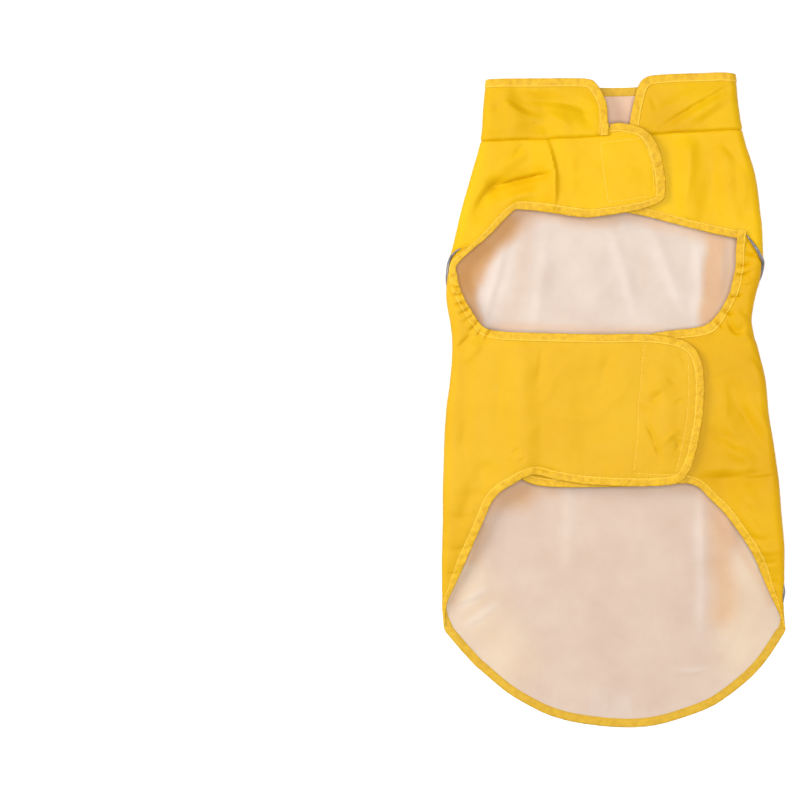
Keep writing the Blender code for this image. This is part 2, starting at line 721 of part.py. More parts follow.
def right_side_outline():
    """Right side with the belly flap that lies underneath."""
    seam = moved_left(right_seam, PIPED_INSET)
    seam = [point for point in seam if point.y <= RIGHT_TIP]
    edge = cloth_edge(right_edge, narrowing_widths(right_edge), -1)
    return seam + edge[nearest(right_edge, RIGHT_SIDE_CORNER):][::-1]


def collar_outline():
    """Standing collar, one band round the neck, open at the throat."""
    edge = with_level_ends(cloth_edge(collar_edge, full_widths(collar_edge), 1), collar_edge)
    seam = [Vector((point.x, point.y + SEAM_GAP / 2)) for point in collar_seam[::-1]]
    return edge + [point for point in seam if edge[-1].x < point.x < edge[0].x]


def drawn_back(curve):
    """The curve with its start moved along it by a seam gap."""
    return [curve[0] + SEAM_GAP * (curve[1] - curve[0]).normalized()] + curve[1:]


def add_side_tapes(side_name, border, widths, corner, coat):
    """The chest tape and the belly tape of a side, which meet in a mitre at the armhole."""
    inner = inset(border, widths)
    mitre = nearest(border, corner)
    add_tape(f"{side_name}_chest_binding", border[:mitre + 1], inner[:mitre + 1], coat)
    add_tape(f"{side_name}_belly_binding", drawn_back(border[mitre:]),
             drawn_back(inner[mitre:]), coat)


def add_bindings(coat):
    collar_inner = with_level_ends(moved_left(collar_edge, TAPE_WIDTH), collar_edge)
    add_tape("collar_binding", collar_edge, collar_inner, coat)
    left_widths = narrowing_widths(left_edge)
    add_side_tapes("left", left_edge, left_widths, LEFT_TAPE_CORNER, coat)
    right_widths = [-width for width in narrowing_widths(right_edge)]
    add_side_tapes("right", right_edge, right_widths, RIGHT_BACK_CORNER, coat)
    add_tape("hem_binding", hem_edge, moved_left(hem_edge, TAPE_WIDTH), coat)


def build_raincoat():
    coat = bpy.data.objects.new("dog_raincoat", None)
    bpy.context.scene.collection.objects.link(coat)
    add_panel("back_panel", back_panel_outline(), coat)
    add_panel("left_side_panel", left_side_outline(), coat)
    add_panel("right_side_panel", right_side_outline(), coat)
    add_panel("collar", collar_outline(), coat)
    add_bindings(coat)
    add_piping("left_piping", left_seam, LEFT_PIPING_TOP, coat)
    add_piping("right_piping", right_seam, RIGHT_PIPING_TOP, coat)
    add_patch("chest_hook_patch", CHEST_PATCH, LEFT, hook_outside, coat)
    add_patch("chest_loop_patch", CHEST_PATCH, RIGHT, loop_outside, coat)
    add_patch("belly_hook_patch", BELLY_PATCH, LEFT, hook_outside, coat)
    add_patch("belly_loop_patch", BELLY_PATCH, RIGHT, loop_outside, coat)


for leftover in list(bpy.data.objects):
    bpy.data.objects.remove(leftover, do_unlink=True)
build_raincoat()
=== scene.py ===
"""Looks of the dog raincoat: coated cloth, folded bindings, piping and stitching.

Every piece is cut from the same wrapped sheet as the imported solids. A place on that sheet is
(girth, y) in millimetres: girth runs along the cloth from the middle of the back, + to the
side at the viewer's right. A level is a height above (+) or below (-) the middle of the wall,
out of the coat. The coat lies on its back, so its outside faces the floor there.
"""

import math
from collections import namedtuple

import bpy
import numpy as np
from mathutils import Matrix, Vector, geometry


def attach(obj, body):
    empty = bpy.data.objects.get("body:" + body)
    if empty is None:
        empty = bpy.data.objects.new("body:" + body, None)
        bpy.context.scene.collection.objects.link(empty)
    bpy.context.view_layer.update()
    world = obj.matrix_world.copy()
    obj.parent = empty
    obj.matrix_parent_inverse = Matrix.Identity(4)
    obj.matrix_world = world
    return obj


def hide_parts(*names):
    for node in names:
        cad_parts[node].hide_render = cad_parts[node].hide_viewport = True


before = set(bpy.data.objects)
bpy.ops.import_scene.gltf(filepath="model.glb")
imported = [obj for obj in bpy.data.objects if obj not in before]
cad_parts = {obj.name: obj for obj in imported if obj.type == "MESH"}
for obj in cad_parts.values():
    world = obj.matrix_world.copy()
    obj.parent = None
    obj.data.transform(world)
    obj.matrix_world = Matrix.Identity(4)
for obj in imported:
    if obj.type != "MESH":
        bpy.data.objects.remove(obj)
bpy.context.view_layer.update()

MM = 0.001

# ---------------------------------------------------------------- sizes, in millimetres

WALL = 1.0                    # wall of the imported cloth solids
OUTER_SKIN = 0.5              # levels of the cloth's two faces
INNER_SKIN = -0.1
CLOTH_MIDDLE = (OUTER_SKIN + INNER_SKIN) / 2
OVER_LIFT = 4.3               # left flaps above right flaps
LIFT_RUN = 20.0               # length over which they rise to that
LIFT_LEAD = 4.0               # they are up this far before the right flaps' ends
TAPE_WIDTH = 6.5              # binding, from its folded border to its inner edge
TAPE_HALF = 0.85              # half the thickness of a folded binding
LEAF_INSIDE = 0.42            # level at which its leaves hold the cloth
TAPE_END_WIDTH = 1.0          # the side bindings narrow to this at the hem
TAPE_TAPER = 0.12             # by this much for each millimetre
CLOTH_IN_TAPE = 1.6           # from a binding's border to the cloth's edge inside it
PIPING_RADIUS = 1.25
SEAM_HALF_GAP = 0.06          # from a seam's line to the cloth's edge on each side
PATCH = 1.0                   # thickness of the hook and loop patches
LEFT, RIGHT = -1, 1           # sides, as the picture shows them

# Outline of the coat at each height: its left and right side, and the side folds' radius
Section = namedtuple("Section", "y left right fold")
SECTIONS = [Section(*row) for row in (
    (246.0, -95.6, 91.0, 5.3),
    (217.7, -97.7, 93.5, 5.4),
    (194.5, -99.4, 97.8, 5.5),
    (171.2, -106.0, 105.0, 5.6),
    (147.2, -112.7, 109.0, 5.6),
    (123.2, -118.5, 111.3, 5.6),
    (99.2, -124.4, 111.4, 5.6),
    (75.2, -125.1, 105.4, 5.6),
    (58.0, -122.2, 103.6, 5.6),
    (39.2, -120.9, 108.0, 5.6),
    (15.0, -122.6, 113.4, 5.6),
    (-8.8, -125.5, 116.0, 5.6),
    (-44.8, -127.4, 121.4, 5.6),
    (-80.8, -127.8, 125.4, 5.6),
    (-112.0, -128.4, 127.7, 4.6),
    (-134.8, -128.6, 127.9, 2.8),
    (-152.8, -128.9, 128.2, 1.7),
    (-161.0, -128.9, 128.7, 1.3),
    (-169.0, -129.4, 129.9, 1.1),
    (-177.0, -131.0, 132.0, 1.1),
    (-250.0, -131.0, 132.0, 1.1),
)]

# Where the left flaps lie on the right ones
UNDER_CHEST_END = -31.0
UNDER_BELLY_END = -78.0
CHEST_TO_BELLY = (130.0, 70.0)
LIFT_IN_COLLAR = (206.0, 234.0)
LIFT_IN_FLANK = (-68.0, -96.0)

# Broad form of the belly side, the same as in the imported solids
SAG = 2.4
SAG_RUN = 45.0
SIDE_RUN = 14.0
CALM_FOLD = (1.3, 3.6)        # fine folds fade where the side folds' radius falls to this
Crease = namedtuple("Crease", "x1 y1 x2 y2 width height")
CREASES = [Crease(*row) for row in (
    (-72, 223, -30, 216, 15, -1.5),     # left of the collar
    (-84, 232, -74, 208, 12, 1.6),
    (81, 231, 46, 209, 13, 1.9),        # right of the collar
    (-54, 190, -46, 147, 13, 2.6),      # left chest
    (-56, 166, -88, 160, 12, -2.0),
    (-92, 158, -103, 141, 12, -1.8),
    (54, 186, 57, 141, 14, 2.0),        # right chest
    (82, 182, 88, 140, 13, 1.5),
    (-101, 38, -100, -40, 14, 1.6),     # belly band
    (-70, 36, -68, -50, 15, 1.8),
    (-14, 38, -16, -52, 24, -0.8),
    (34, 18, 40, -46, 14, 1.4),
    (90, 6, 112, -46, 14, -1.6),        # right belly
    (94, -62, 112, -108, 13, 1.5),      # flanks
    (-106, -68, -117, -116, 12, -1.4),
)]

# Finer folds of the belly side, each on a bend through three places seen from above. A trough
# has a negative height. A fold with a lean is steeper on one of its sides.
Fold = namedtuple("Fold", "x1 y1 x2 y2 x3 y3 width height lean")
TOP_FOLDS = [Fold(*row) for row in (
    # Collar, left wing
    (-78, 224, -42, 223, -14, 214, 8.0, -1.3, 0.3),
    (-24, 224, -22, 213, -19, 203, 8.0, -1.1, 0.0),
    (-88, 230, -72, 216, -53, 211, 7.0, 1.1, -0.3),
    (-52, 217, -41, 210, -28, 202, 9.0, 0.9, 0.2),
    (-92, 214, -86, 221, -80, 229, 6.0, -0.5, 0.0),
    (-66, 203, -56, 206, -46, 203, 4.0, -0.5, 0.0),
    # Collar, right wing
    (94, 239, 60, 220, 29, 200, 4.5, -1.5, 0.4),
    (92, 229, 68, 216, 50, 204, 8.0, 0.7, -0.2),
    (70, 237, 50, 225, 30, 214, 9.0, 0.8, 0.2),
    (24, 230, 30, 222, 33, 212, 5.0, -0.5, 0.0),
    # Left chest
    (-56, 206, -44, 169, -48, 134, 6.0, 1.9, -0.65),
    (-40, 170.5, -68, 166, -97, 157, 4.2, -2.1, 0.4),
    (-78, 166, -94, 157, -106, 136, 6.5, -1.7, 0.3),
    (-50, 157, -72, 152, -86, 143, 8.0, 0.9, 0.0),
    (-60, 189, -74, 179, -92, 172, 7.0, 0.7, 0.0),
    (-66, 192, -72, 186, -77, 180, 3.0, -0.5, 0.0),
    (-34, 190, -31, 170, -33, 150, 6.0, 0.5, 0.0),
    # Chest flap
    (-2, 196, 12, 199, 26, 196, 5.0, -0.4, 0.0),
    (4, 165, 14, 168, 24, 164, 8.0, 0.35, 0.0),
    # Right chest
    (58, 204, 56, 170, 50, 138, 11.0, 0.9, -0.3),
    (74, 200, 74, 166, 68, 132, 12.0, -0.7, 0.2),
    (92, 176, 97, 160, 95, 140, 7.0, 0.9, 0.0),
    (80, 196, 86, 186, 96, 178, 6.0, -0.6, 0.0),
    # Right armhole
    (83, 66, 91, 51, 99, 59, 4.5, -1.7, 0.3),
    (98, 54, 107, 47, 116, 45, 4.5, -1.1, 0.0),
    (94, 72, 99, 64, 107, 60, 5.0, -0.9, 0.2),
    (96, 112, 102, 108.5, 109, 109, 2.0, -1.2, 0.3),
    (90, 101, 97, 100.5, 107, 105, 2.1, -1.5, 0.3),
    (89, 96, 95, 94, 105, 97, 2.0, -1.3, -0.3),
    (90, 90, 97, 88, 107, 91, 3.0, 0.6, 0.0),
    (84, 78.5, 90, 77, 99, 80, 2.0, -1.4, 0.3),
    (80, 70, 85, 65, 92, 63, 2.0, -1.4, 0.3),
    (74, 62.5, 78, 57, 84, 52, 2.0, -1.0, 0.3),
    # Left armhole
    (-104, 51, -112, 44, -121, 35, 5.5, -1.5, 0.4),
    (-98, 46, -106, 36, -112, 26, 6.0, 0.9, 0.0),
    (-113, 85, -118, 84.5, -125, 87, 2.0, -1.3, 0.3),
    (-111.5, 79.5, -117, 79, -125, 80, 2.0, -1.3, 0.4),
    (-109.5, 75, -115, 72.5, -123, 71.5, 2.0, -1.3, 0.3),
    (-107, 70, -112, 66.5, -119, 63, 2.0, -1.3, 0.4),
    (-104, 65, -108.5, 61.5, -115, 57, 1.8, -1.2, 0.3),
    (-100.5, 60.5, -105, 55.5, -111, 49, 2.0, -1.3, 0.4),
    (-96.5, 56.5, -100, 51.5, -105, 45, 1.8, -1.2, 0.3),
    (-91.5, 54.5, -94.5, 49.5, -98, 43, 1.9, -1.2, 0.3),
    # Belly band
    (-88, 44, -86, 8, -88, -34, 8.0, -0.7, 0.0),
    (-54, 44, -55, 28, -58, 10, 6.0, -0.5, 0.3),
    (-2, 44, -6, 26, -14, 8, 9.0, -0.6, 0.2),
    (-40, -4, -28, -14, -14, -18, 10.0, 0.35, 0.0),
    (-71, -35, -74, -38.5, -78, -42, 1.8, -0.6, 0.0),
    (-66, -42.5, -69, -45, -73, -47.5, 1.8, -0.6, 0.0),
    (-64, -50, -52, -52.5, -38, -55, 2.6, -0.9, 0.5),
    (-108, -12, -113, -26, -112, -40, 7.0, -0.5, 0.0),
    # Belly flap, over its patch
    (26, -3, 31, 1.5, 37, 7, 5.0, -0.9, 0.3),
    (24, 9, 31, 8, 38, 13, 6.0, 0.5, 0.0),
    (39, 20, 43, 14, 50, 10, 3.0, -0.45, 0.0),
    (21, -11, 29, -30, 37, -53, 3.0, -0.9, 0.4),
    (18, -1, 23, -6, 29, -9, 2.6, -0.5, 0.0),
    (42, -28, 48, -33, 44, -39, 3.2, -1.0, 0.0),
    (36, -36, 42, -26, 52, -24, 3.5, 0.7, 0.0),
    (45, -4, 50, 0, 55, -1, 2.2, -0.6, 0.0),
    (47, 40, 52, 30, 54, 18, 3.0, -0.4, 0.0),
    # Right belly
    (88, 2, 103, -20, 117, -47, 7.0, -0.8, 0.2),
    (99, 2, 112, -16, 121, -36, 7.0, 0.7, 0.0),
    (80, 20, 84, 0, 82, -22, 8.0, 0.6, 0.0),
    (72, -18, 86, -30, 102, -36, 9.0, -0.8, 0.0),
    (52, -58, 92, -58, 128, -55, 15.0, -2.0, -0.5),
    (93, -57, 108, -56.5, 125, -52, 2.6, 0.8, 0.4),
    (78, -28, 92, -40, 112, -46, 9.0, 0.9, 0.0),
    (100, 36, 108, 27, 114, 16, 4.0, -0.6, 0.0),
    # Flanks
    (92, -74, 104, -86, 113, -101, 7.0, -0.8, 0.2),
    (96, -99, 107, -104, 119, -105, 4.5, -0.7, 0.0),
    (104, -118, 114, -122, 124, -119, 3.0, -0.6, 0.0),
    (106, -112, 117, -113, 125, -110, 4.0, 0.5, 0.0),
    (112, -134, 118, -136, 125, -134, 2.4, -0.5, 0.0),
    (-96, -62, -108, -66, -122, -62, 8.0, 0.5, 0.0),
    (-100, -84, -112, -88, -125, -84, 5.0, -0.6, 0.0),
    (-102, -66, -109, -92, -116, -120, 9.0, 0.9, 0.0),
    (-108, -108, -116, -112, -126, -110, 4.0, -0.5, 0.0),
    (-114, -126, -120, -130, -127, -129, 2.6, -0.4, 0.0),
)]

# Folds of the back, in (girth, y). The coat rests on its outside here, so each lifts the
# cloth off the floor: its height is the lift.
BACK_FOLDS = [Fold(*row) for row in (
    # Seen through the leg opening
    (-78, 132, -88, 92, -101, 52, 9.0, 1.6, -0.3),
    (-48, 132, -54, 90, -60, 44, 9.0, 1.3, 0.3),
    (-20, 132, -14, 96, -18, 56, 16.0, 0.7, 0.0),
    (-4, 136, 8, 96, 20, 50, 7.0, 1.0, 0.3),
    (26, 138, 40, 98, 58, 56, 7.0, 1.1, 0.3),
    (60, 130, 64, 100, 66, 70, 7.0, 0.8, 0.2),
    (80, 124, 81, 98, 78, 72, 7.0, 1.1, 0.0),
    # Seen through the rear opening
    (64, -40, 66, -112, 65, -200, 7.0, 1.1, 0.4),
    (-36, -40, -34, -92, -35, -144, 8.0, 0.7, 0.4),
    (-122, -153, -106, -148, -90, -138, 3.0, 1.0, 0.3),
    (-114, -170, -100, -163, -84, -152, 3.0, 0.9, 0.3),
    (84, -78, 88, -96, 92, -118, 8.0, 0.9, 0.0),
    (48, -203, 60, -203.5, 71, -201, 2.4, 0.7, 0.3),
    (30, -196, 42, -202, 50, -212, 7.0, 0.4, 0.0),
    (-5, -216, -4.5, -226, -6, -236, 2.6, 0.7, 0.0),
    (-44, -218, -42, -226, -43, -233, 2.2, 0.6, 0.0),
    (24, -221, 26, -229, 25, -236, 2.4, 0.5, 0.0),
    (-84, -104, -96, -128, -106, -160, 10.0, 0.9, 0.2),
    (-102, -112, -112, -132, -118, -158, 5.0, 0.8, 0.0),
    (-40, -80, -36, -120, -46, -160, 18.0, 0.6, 0.0),
    (10, -90, 16, -130, 8, -176, 18.0, 0.6, 0.0),
    (96, -140, 90, -170, 78, -196, 9.0, 0.6, 0.0),
    # Below the collar and beside the piping
    (-60, 184, -66, 168, -78, 150, 5.0, 0.6, 0.3),
    (-22, 186, -26, 166, -38, 142, 9.0, 0.6, 0.0),
    (30, 184, 40, 160, 56, 140, 8.0, 0.6, 0.0),
    (68, 190, 76, 170, 90, 152, 6.0, 0.6, 0.0),
    (-86, 34, -74, 28, -60, 30, 5.0, 0.7, 0.0),
    (-92, -10, -78, -16, -64, -12, 6.0, 0.6, 0.0),
    (-94, -42, -82, -50, -70, -62, 5.0, 0.7, 0.3),
    (84, 8, 72, 2, 58, 6, 6.0, 0.7, 0.0),
    (88, -30, 74, -36, 62, -30, 5.0, 0.7, 0.0),
    (90, -64, 76, -66, 66, -58, 5.0, 0.6, 0.0),
    # Back of the collar
    (-80, 236, -62, 220, -40, 206, 6.0, 0.6, 0.3),
    (-30, 232, -24, 216, -22, 200, 7.0, 0.6, 0.0),
    (10, 232, 14, 214, 24, 200, 5.0, 0.6, 0.2),
    (64, 234, 46, 218, 30, 206, 6.0, 0.6, 0.3),
)]

# Borders of the bound edges, seen from above: (x, y)
LEFT_CHEST_EDGE = [
    (-3.4, 206.3), (5.0, 207.2), (17.0, 205.0), (24.5, 201.2), (31.3, 193.0), (35.8, 180.2),
    (38.0, 168.2), (38.4, 157.5), (37.4, 151.5), (32.6, 147.2), (20.0, 142.6), (5.0, 139.7),
    (-10.0, 137.5), (-25.0, 136.7), (-55.0, 141.2), (-71.5, 142.7), (-74.4, 142.0),
    (-81.2, 136.0), (-92.5, 124.0), (-107.5, 111.2), (-117.6, 100.7),
]
LEFT_BELLY_EDGE = [
    (-117.2, 93.2), (-114.6, 82.7), (-109.7, 72.2), (-102.2, 60.2), (-96.2, 54.2),
    (-85.0, 51.6), (-62.5, 50.5), (-10.0, 49.4), (14.0, 49.7), (31.3, 49.0), (46.3, 46.4),
    (55.3, 43.0), (61.3, 37.7), (65.0, 29.5), (66.9, 18.2), (66.5, -7.3), (63.5, -26.8),
    (59.8, -43.3), (54.5, -55.6), (47.0, -62.0), (35.0, -63.9), (16.3, -64.4), (-2.5, -63.9),
    (-25.0, -62.4), (-45.2, -58.8), (-58.0, -55.7), (-67.0, -57.9), (-76.0, -63.1),
    (-85.0, -68.8), (-91.7, -77.0), (-99.2, -94.3), (-107.1, -112.3), (-114.2, -128.8),
    (-119.8, -140.8), (-124.2, -150.5), (-125.3, -154.5), (-125.8, -158.5), (-126.0, -163.0),
    (-126.4, -168.5),
]
RIGHT_CHEST_EDGE = [
    (10.3, 201.6), (-2.5, 202.0), (-17.5, 200.9), (-25.7, 196.0), (-30.2, 186.2),
    (-31.0, 172.7), (-29.5, 159.2), (-22.7, 150.2), (-10.0, 145.0), (11.0, 140.1),
    (27.5, 136.7), (50.0, 130.7), (72.5, 125.1), (91.7, 121.0),
]
RIGHT_BELLY_EDGE = [
    (90.9, 108.2), (89.4, 93.2), (86.4, 80.5), (81.5, 70.7), (75.9, 62.5), (69.5, 56.9),
    (59.8, 54.2), (44.0, 52.4), (27.5, 49.7), (14.0, 45.6), (-10.0, 43.7), (-55.0, 43.0),
    (-68.5, 40.7), (-75.6, 32.5), (-78.2, 16.7), (-78.2, -22.3), (-76.3, -43.3),
    (-72.2, -56.0), (-67.0, -60.1), (-59.5, -63.1), (-47.5, -64.8), (-25.0, -65.2),
    (12.5, -64.6), (35.0, -63.5), (50.0, -62.4), (57.5, -62.8), (64.3, -66.1), (72.5, -74.4),
    (82.3, -84.1), (92.8, -98.0), (101.8, -111.5), (110.4, -129.9), (117.5, -146.0),
    (122.6, -156.6), (124.6, -161.4), (125.9, -165.4), (127.0, -169.0), (127.6, -171.0),
]
COLLAR_RIGHT_EDGE = [
    (11.6, 200.1), (12.0, 208.0), (13.3, 216.2), (15.9, 227.5), (17.8, 234.2), (21.5, 239.9),
    (28.3, 242.9), (46.3, 244.2), (66.5, 244.7), (84.5, 245.0),
]
COLLAR_BACK_EDGE = [
    (81.5, 242.1), (57.5, 238.4), (27.5, 235.4), (-0.2, 234.2), (-32.5, 235.0),
    (-62.5, 236.9), (-85.0, 239.1),
]
COLLAR_LEFT_EDGE = [
    (-87.2, 240.4), (-55.0, 240.8), (-28.7, 241.0), (-19.0, 240.4), (-14.5, 238.5),
    (-10.0, 232.4), (-6.6, 225.2), (-4.9, 217.5), (-4.9, 199.8),
]
HEM_EDGE = [
    (-127.6, -156.0), (-127.8, -163.3), (-127.1, -170.4), (-126.1, -173.0), (-123.6, -176.4),
    (-112.5, -189.4), (-103.2, -199.4), (-99.6, -202.4), (-80.5, -218.4), (-62.5, -229.3),
    (-46.0, -236.8), (-25.0, -242.0), (3.5, -245.0), (29.0, -243.9), (54.5, -237.1),
    (76.3, -228.1), (96.5, -213.5), (109.6, -201.0), (119.0, -188.6), (126.6, -176.8),
    (128.9, -172.6), (129.1, -170.6), (128.6, -166.0), (128.1, -160.5),
]

# Seam between collar and back panel
COLLAR_SEAM_RIGHT = [(11.8, 199.0), (31.3, 199.4), (65.0, 201.1), (89.0, 202.4)]
COLLAR_SEAM_BACK = [
    (86.0, 200.9), (57.5, 195.2), (27.5, 190.7), (-0.2, 188.9), (-32.5, 188.9),
    (-62.5, 190.4), (-88.7, 193.0),
]
COLLAR_SEAM_LEFT = [(-92.5, 194.1), (-55.0, 195.6), (-17.5, 197.1), (-3.8, 199.1)]

# Piped seams. from_side runs along the cloth from the middle of the side fold, + up.
PipedSeam = namedtuple("PipedSeam", "from_side y")
LEFT_PIPED_SEAM = [PipedSeam(*row) for row in (
    (15.5, 114.8), (9.4, 113.6), (5.3, 109.9), (2.2, 106.2), (0.9, 102.0), (0.6, 97.5),
    (-0.2, 92.5), (-1.8, 87.0), (-6.0, 81.0), (-12.0, 73.0), (-19.2, 61.7), (-24.5, 45.2),
    (-28.3, 22.7), (-32.4, -22.3), (-31.7, -74.8), (-26.0, -104.8), (-18.0, -124.0),
    (-9.0, -141.0), (-4.5, -152.2),
)]
RIGHT_PIPED_SEAM = [PipedSeam(*row) for row in (
    (15.6, 124.6), (11.0, 117.6), (6.1, 109.4), (2.4, 102.6), (0.3, 96.2), (-2.0, 89.5),
    (-7.5, 81.0), (-14.0, 71.5), (-19.5, 60.5), (-24.2, 46.0), (-28.0, 26.0), (-30.5, 2.0),
    (-31.5, -37.3), (-26.0, -74.8), (-16.0, -104.8), (-7.0, -123.5), (-1.2, -139.0),
    (0.0, -148.5), (-0.6, -158.0),
)]
LEFT_PIPING_TOP = 113.8       # heights at which the beads come out from under the bindings
RIGHT_PIPING_TOP = 124.2
PIPING_END = -152.0

# Hook and loop patches, seen from above: (x, y)
CHEST_PATCH = [
    (-10.7, 192.0), (17.5, 193.4), (27.2, 174.0), (28.0, 161.5), (24.8, 156.4), (-4.8, 153.4),
]
BELLY_PATCH = [
    (20.8, 39.0), (50.5, 35.6), (57.0, 26.0), (58.4, 14.0), (57.0, -9.0), (50.5, -42.0),
    (44.5, -53.0), (15.2, -55.0),
]

# Stitch lines that hold the patches, on the left flaps seen from above: (x, y)
CHEST_PATCH_STITCHES = [
    [(-10.7, 192.2), (-8.4, 174.0), (-5.6, 156.2), (-4.2, 148.0)],
    [(-10.7, 192.2), (5.0, 193.9), (20.8, 195.6)],
    [(-4.2, 148.0), (11.0, 150.0), (26.6, 153.0)],
    [(20.8, 195.6), (25.4, 186.0), (28.2, 176.0), (29.6, 164.5), (29.2, 156.4)],
]
BELLY_PATCH_STITCHES = [
    [(21.6, 41.4), (20.2, 19.0), (17.8, -22.3), (14.6, -54.4)],
    [(14.6, -54.4), (32.0, -55.6), (49.4, -55.2)],
    [(54.4, 37.4), (55.8, 18.0), (54.8, -8.0), (52.0, -27.0), (48.6, -44.0), (46.0, -53.6)],
]

# Leash slot in the back, in (girth, y), and the cut in its middle
LEASH_SLOT = namedtuple("LeashSlot", "low high half_width")(134.2, 162.5, 1.15)
SLIT_HALF_WIDTH = 0.2
SLIT_INSET = 5.4              # from the slot's ends
TIP_NARROWING = 1.7           # bindings are narrower where the piping comes out
TIP_REACH = 16.0

# Tones of the inside, seen from above, as strokes from (x1, y1) to (x2, y2). The cloth is thin,
# and most strokes are painted light and shade: painted tan and amber shade, warmed where yellow
# light shines through where it lies double; a painted cream glow where it lies flat on the pale
# floor; painted highlights along its soft folds; painted warm shade below the openings' edges;
# painted light in the collar's notch. Rose is the inside's own colour, also stroked on as painted
# shade.
ROSE_AND_PAINTED_SHADE, PALE, PAINTED_HIGHLIGHT = (0.72, 0.595, 0.50), (0.755, 0.68, 0.618), (0.83, 0.775, 0.735)
PAINTED_TAN_SHADE, PAINTED_AMBER_SHADE, PAINTED_CREAM_GLOW = (0.69, 0.38, 0.12), (0.75, 0.45, 0.18), (0.81, 0.69, 0.51)
PAINTED_WARM_SHADE, PAINTED_NOTCH_LIGHT = (0.76, 0.54, 0.36), (0.83, 0.61, 0.45)
Tone = namedtuple("Tone", "x1 y1 x2 y2 width soft fade strength color")
TONES = [Tone(*row) for row in (
    (-90, 92, 96, 92, 50, 0.2, 0.0, 0.9, PALE),         # leg opening
    (-45, 139, 8, 137, 7, 0.9, 0.1, 0.25, PAINTED_TAN_SHADE),
    (-64, 136, -76, 46, 6.0, 1.0, 0.1, 0.65, ROSE_AND_PAINTED_SHADE),
    (-78, 128, -100, 54, 8.0, 1.0, 0.1, 0.6, PAINTED_HIGHLIGHT),
    (-6, 136, 20, 48, 4.0, 1.0, 0.35, 0.4, PAINTED_HIGHLIGHT),
    (22, 138, 54, 56, 4.5, 1.0, 0.35, 0.4, PAINTED_HIGHLIGHT),
    (10, 136, 38, 50, 5.0, 1.0, 0.3, 0.25, ROSE_AND_PAINTED_SHADE),
    (62, 126, 63, 52, 5.0, 0.9, 0.2, 0.6, PAINTED_HIGHLIGHT),
    (76, 124, 74, 60, 7.5, 0.6, 0.0, 0.65, PAINTED_AMBER_SHADE),
    (90, 122, 84, 70, 5.0, 0.9, 0.1, 0.25, PAINTED_AMBER_SHADE),
    (-120, 99, -86, 132, 14.0, 0.5, 0.0, 0.85, PAINTED_TAN_SHADE),
    (-84, 134, -70, 142, 12.0, 0.8, 0.0, 0.6, PAINTED_TAN_SHADE),
    (-112, 88, -98, 112, 10.0, 0.5, 0.0, 0.7, PAINTED_TAN_SHADE),
    (-112, 92, -104, 60, 6.0, 0.6, 0.0, 0.8, PAINTED_TAN_SHADE),
    (-34, -46, -35, -136, 5.0, 1.0, 0.4, 0.16, PAINTED_HIGHLIGHT),  # rear opening
    (65, -44, 65, -196, 4.4, 1.0, 0.4, 0.34, PAINTED_HIGHLIGHT),
    (108, -124, 98, -188, 18, 1.0, 0.0, 0.75, PAINTED_CREAM_GLOW),
    (78, -66, 84, -180, 9, 0.9, 0.2, 0.45, PAINTED_AMBER_SHADE),
    (84, -78, 92, -112, 7, 0.9, 0.2, 0.3, PAINTED_TAN_SHADE),
    (-112, -146, -80, -194, 20, 1.0, 0.0, 0.75, PAINTED_CREAM_GLOW),
    (-94, -74, -70, -70, 10, 1.0, 0.0, 0.6, PAINTED_TAN_SHADE),
    (-62, -66, -48, -66, 7, 1.0, 0.0, 0.35, PAINTED_TAN_SHADE),
    (-98, -88, -109, -126, 8, 0.9, 0.2, 0.4, PAINTED_TAN_SHADE),
    (-122, -157, -90, -139, 3.5, 1.0, 0.3, 0.45, PAINTED_HIGHLIGHT),
    (-116, -172, -80, -152, 3.5, 1.0, 0.3, 0.4, PAINTED_HIGHLIGHT),
    (44, -204, 76, -200.5, 1.5, 1.0, 0.45, 0.35, PAINTED_HIGHLIGHT),
    (-20, -232, 16, -230, 10, 1.0, 0.1, 0.45, PALE),
    (2, 206, 5, 236, 22, 0.4, 0.0, 1.0, PAINTED_NOTCH_LIGHT),         # inside the collar: painted light in the notch
    (-71, 142, -6, 138, 4.5, 1.0, 0.0, 0.6, PAINTED_WARM_SHADE),      # painted warm shade below the openings' edges
    (6, 140, 92, 121, 5.0, 1.0, 0.0, 0.6, PAINTED_WARM_SHADE),
    (92, 118, 86, 78, 4.0, 1.0, 0.0, 0.6, PAINTED_WARM_SHADE),
    (-92, 54, 56, 51, 3.0, 1.0, 0.0, 0.5, PAINTED_WARM_SHADE),
    (-64, -58, 56, -64, 5.0, 1.0, 0.0, 0.5, PAINTED_WARM_SHADE),
    (62, -66, 84, -88, 4.0, 1.0, 0.0, 0.6, PAINTED_WARM_SHADE),
    (84, -88, 118, -150, 3.0, 1.0, 0.0, 0.5, PAINTED_WARM_SHADE),
    (-90, -76, -122, -148, 4.0, 1.0, 0.0, 0.5, PAINTED_WARM_SHADE),
)]

# How strongly an edge is gathered near some places, seen from above
Gather = namedtuple("Gather", "x y reach strength side")
GATHERS = [Gather(*row) for row in (
    (-114, 84, 16, 1.3, -1),       # left armhole
    (-103, 62, 18, 1.6, -1),
    (-90, 53, 14, 1.1, -1),
    (98, 104, 16, 1.3, 1),         # right armhole
    (88, 74, 18, 1.2, 1),
    (55, 132, 24, 1.0, 1),         # right chest edge
    (-40, 140, 26, 0.6, -1),       # left chest edge
    (38, 168, 22, 1.7, -1),        # ends of the flaps
    (66, -4, 30, 1.9, -1),
    (58, -48, 22, 1.7, -1),
    (56, 42, 14, 1.1, -1),
    (20, -64, 36, 1.0, -1),
    (-30, -60, 30, 1.0, -1),
    (44, -62, 16, 1.4, 1),
    (-100, -95, 30, 0.9, -1),      # flanks
    (100, -110, 34, 1.0, 1),
    (118, -145, 20, 1.1, 1),
)]
GATHER_EVERYWHERE = 0.45

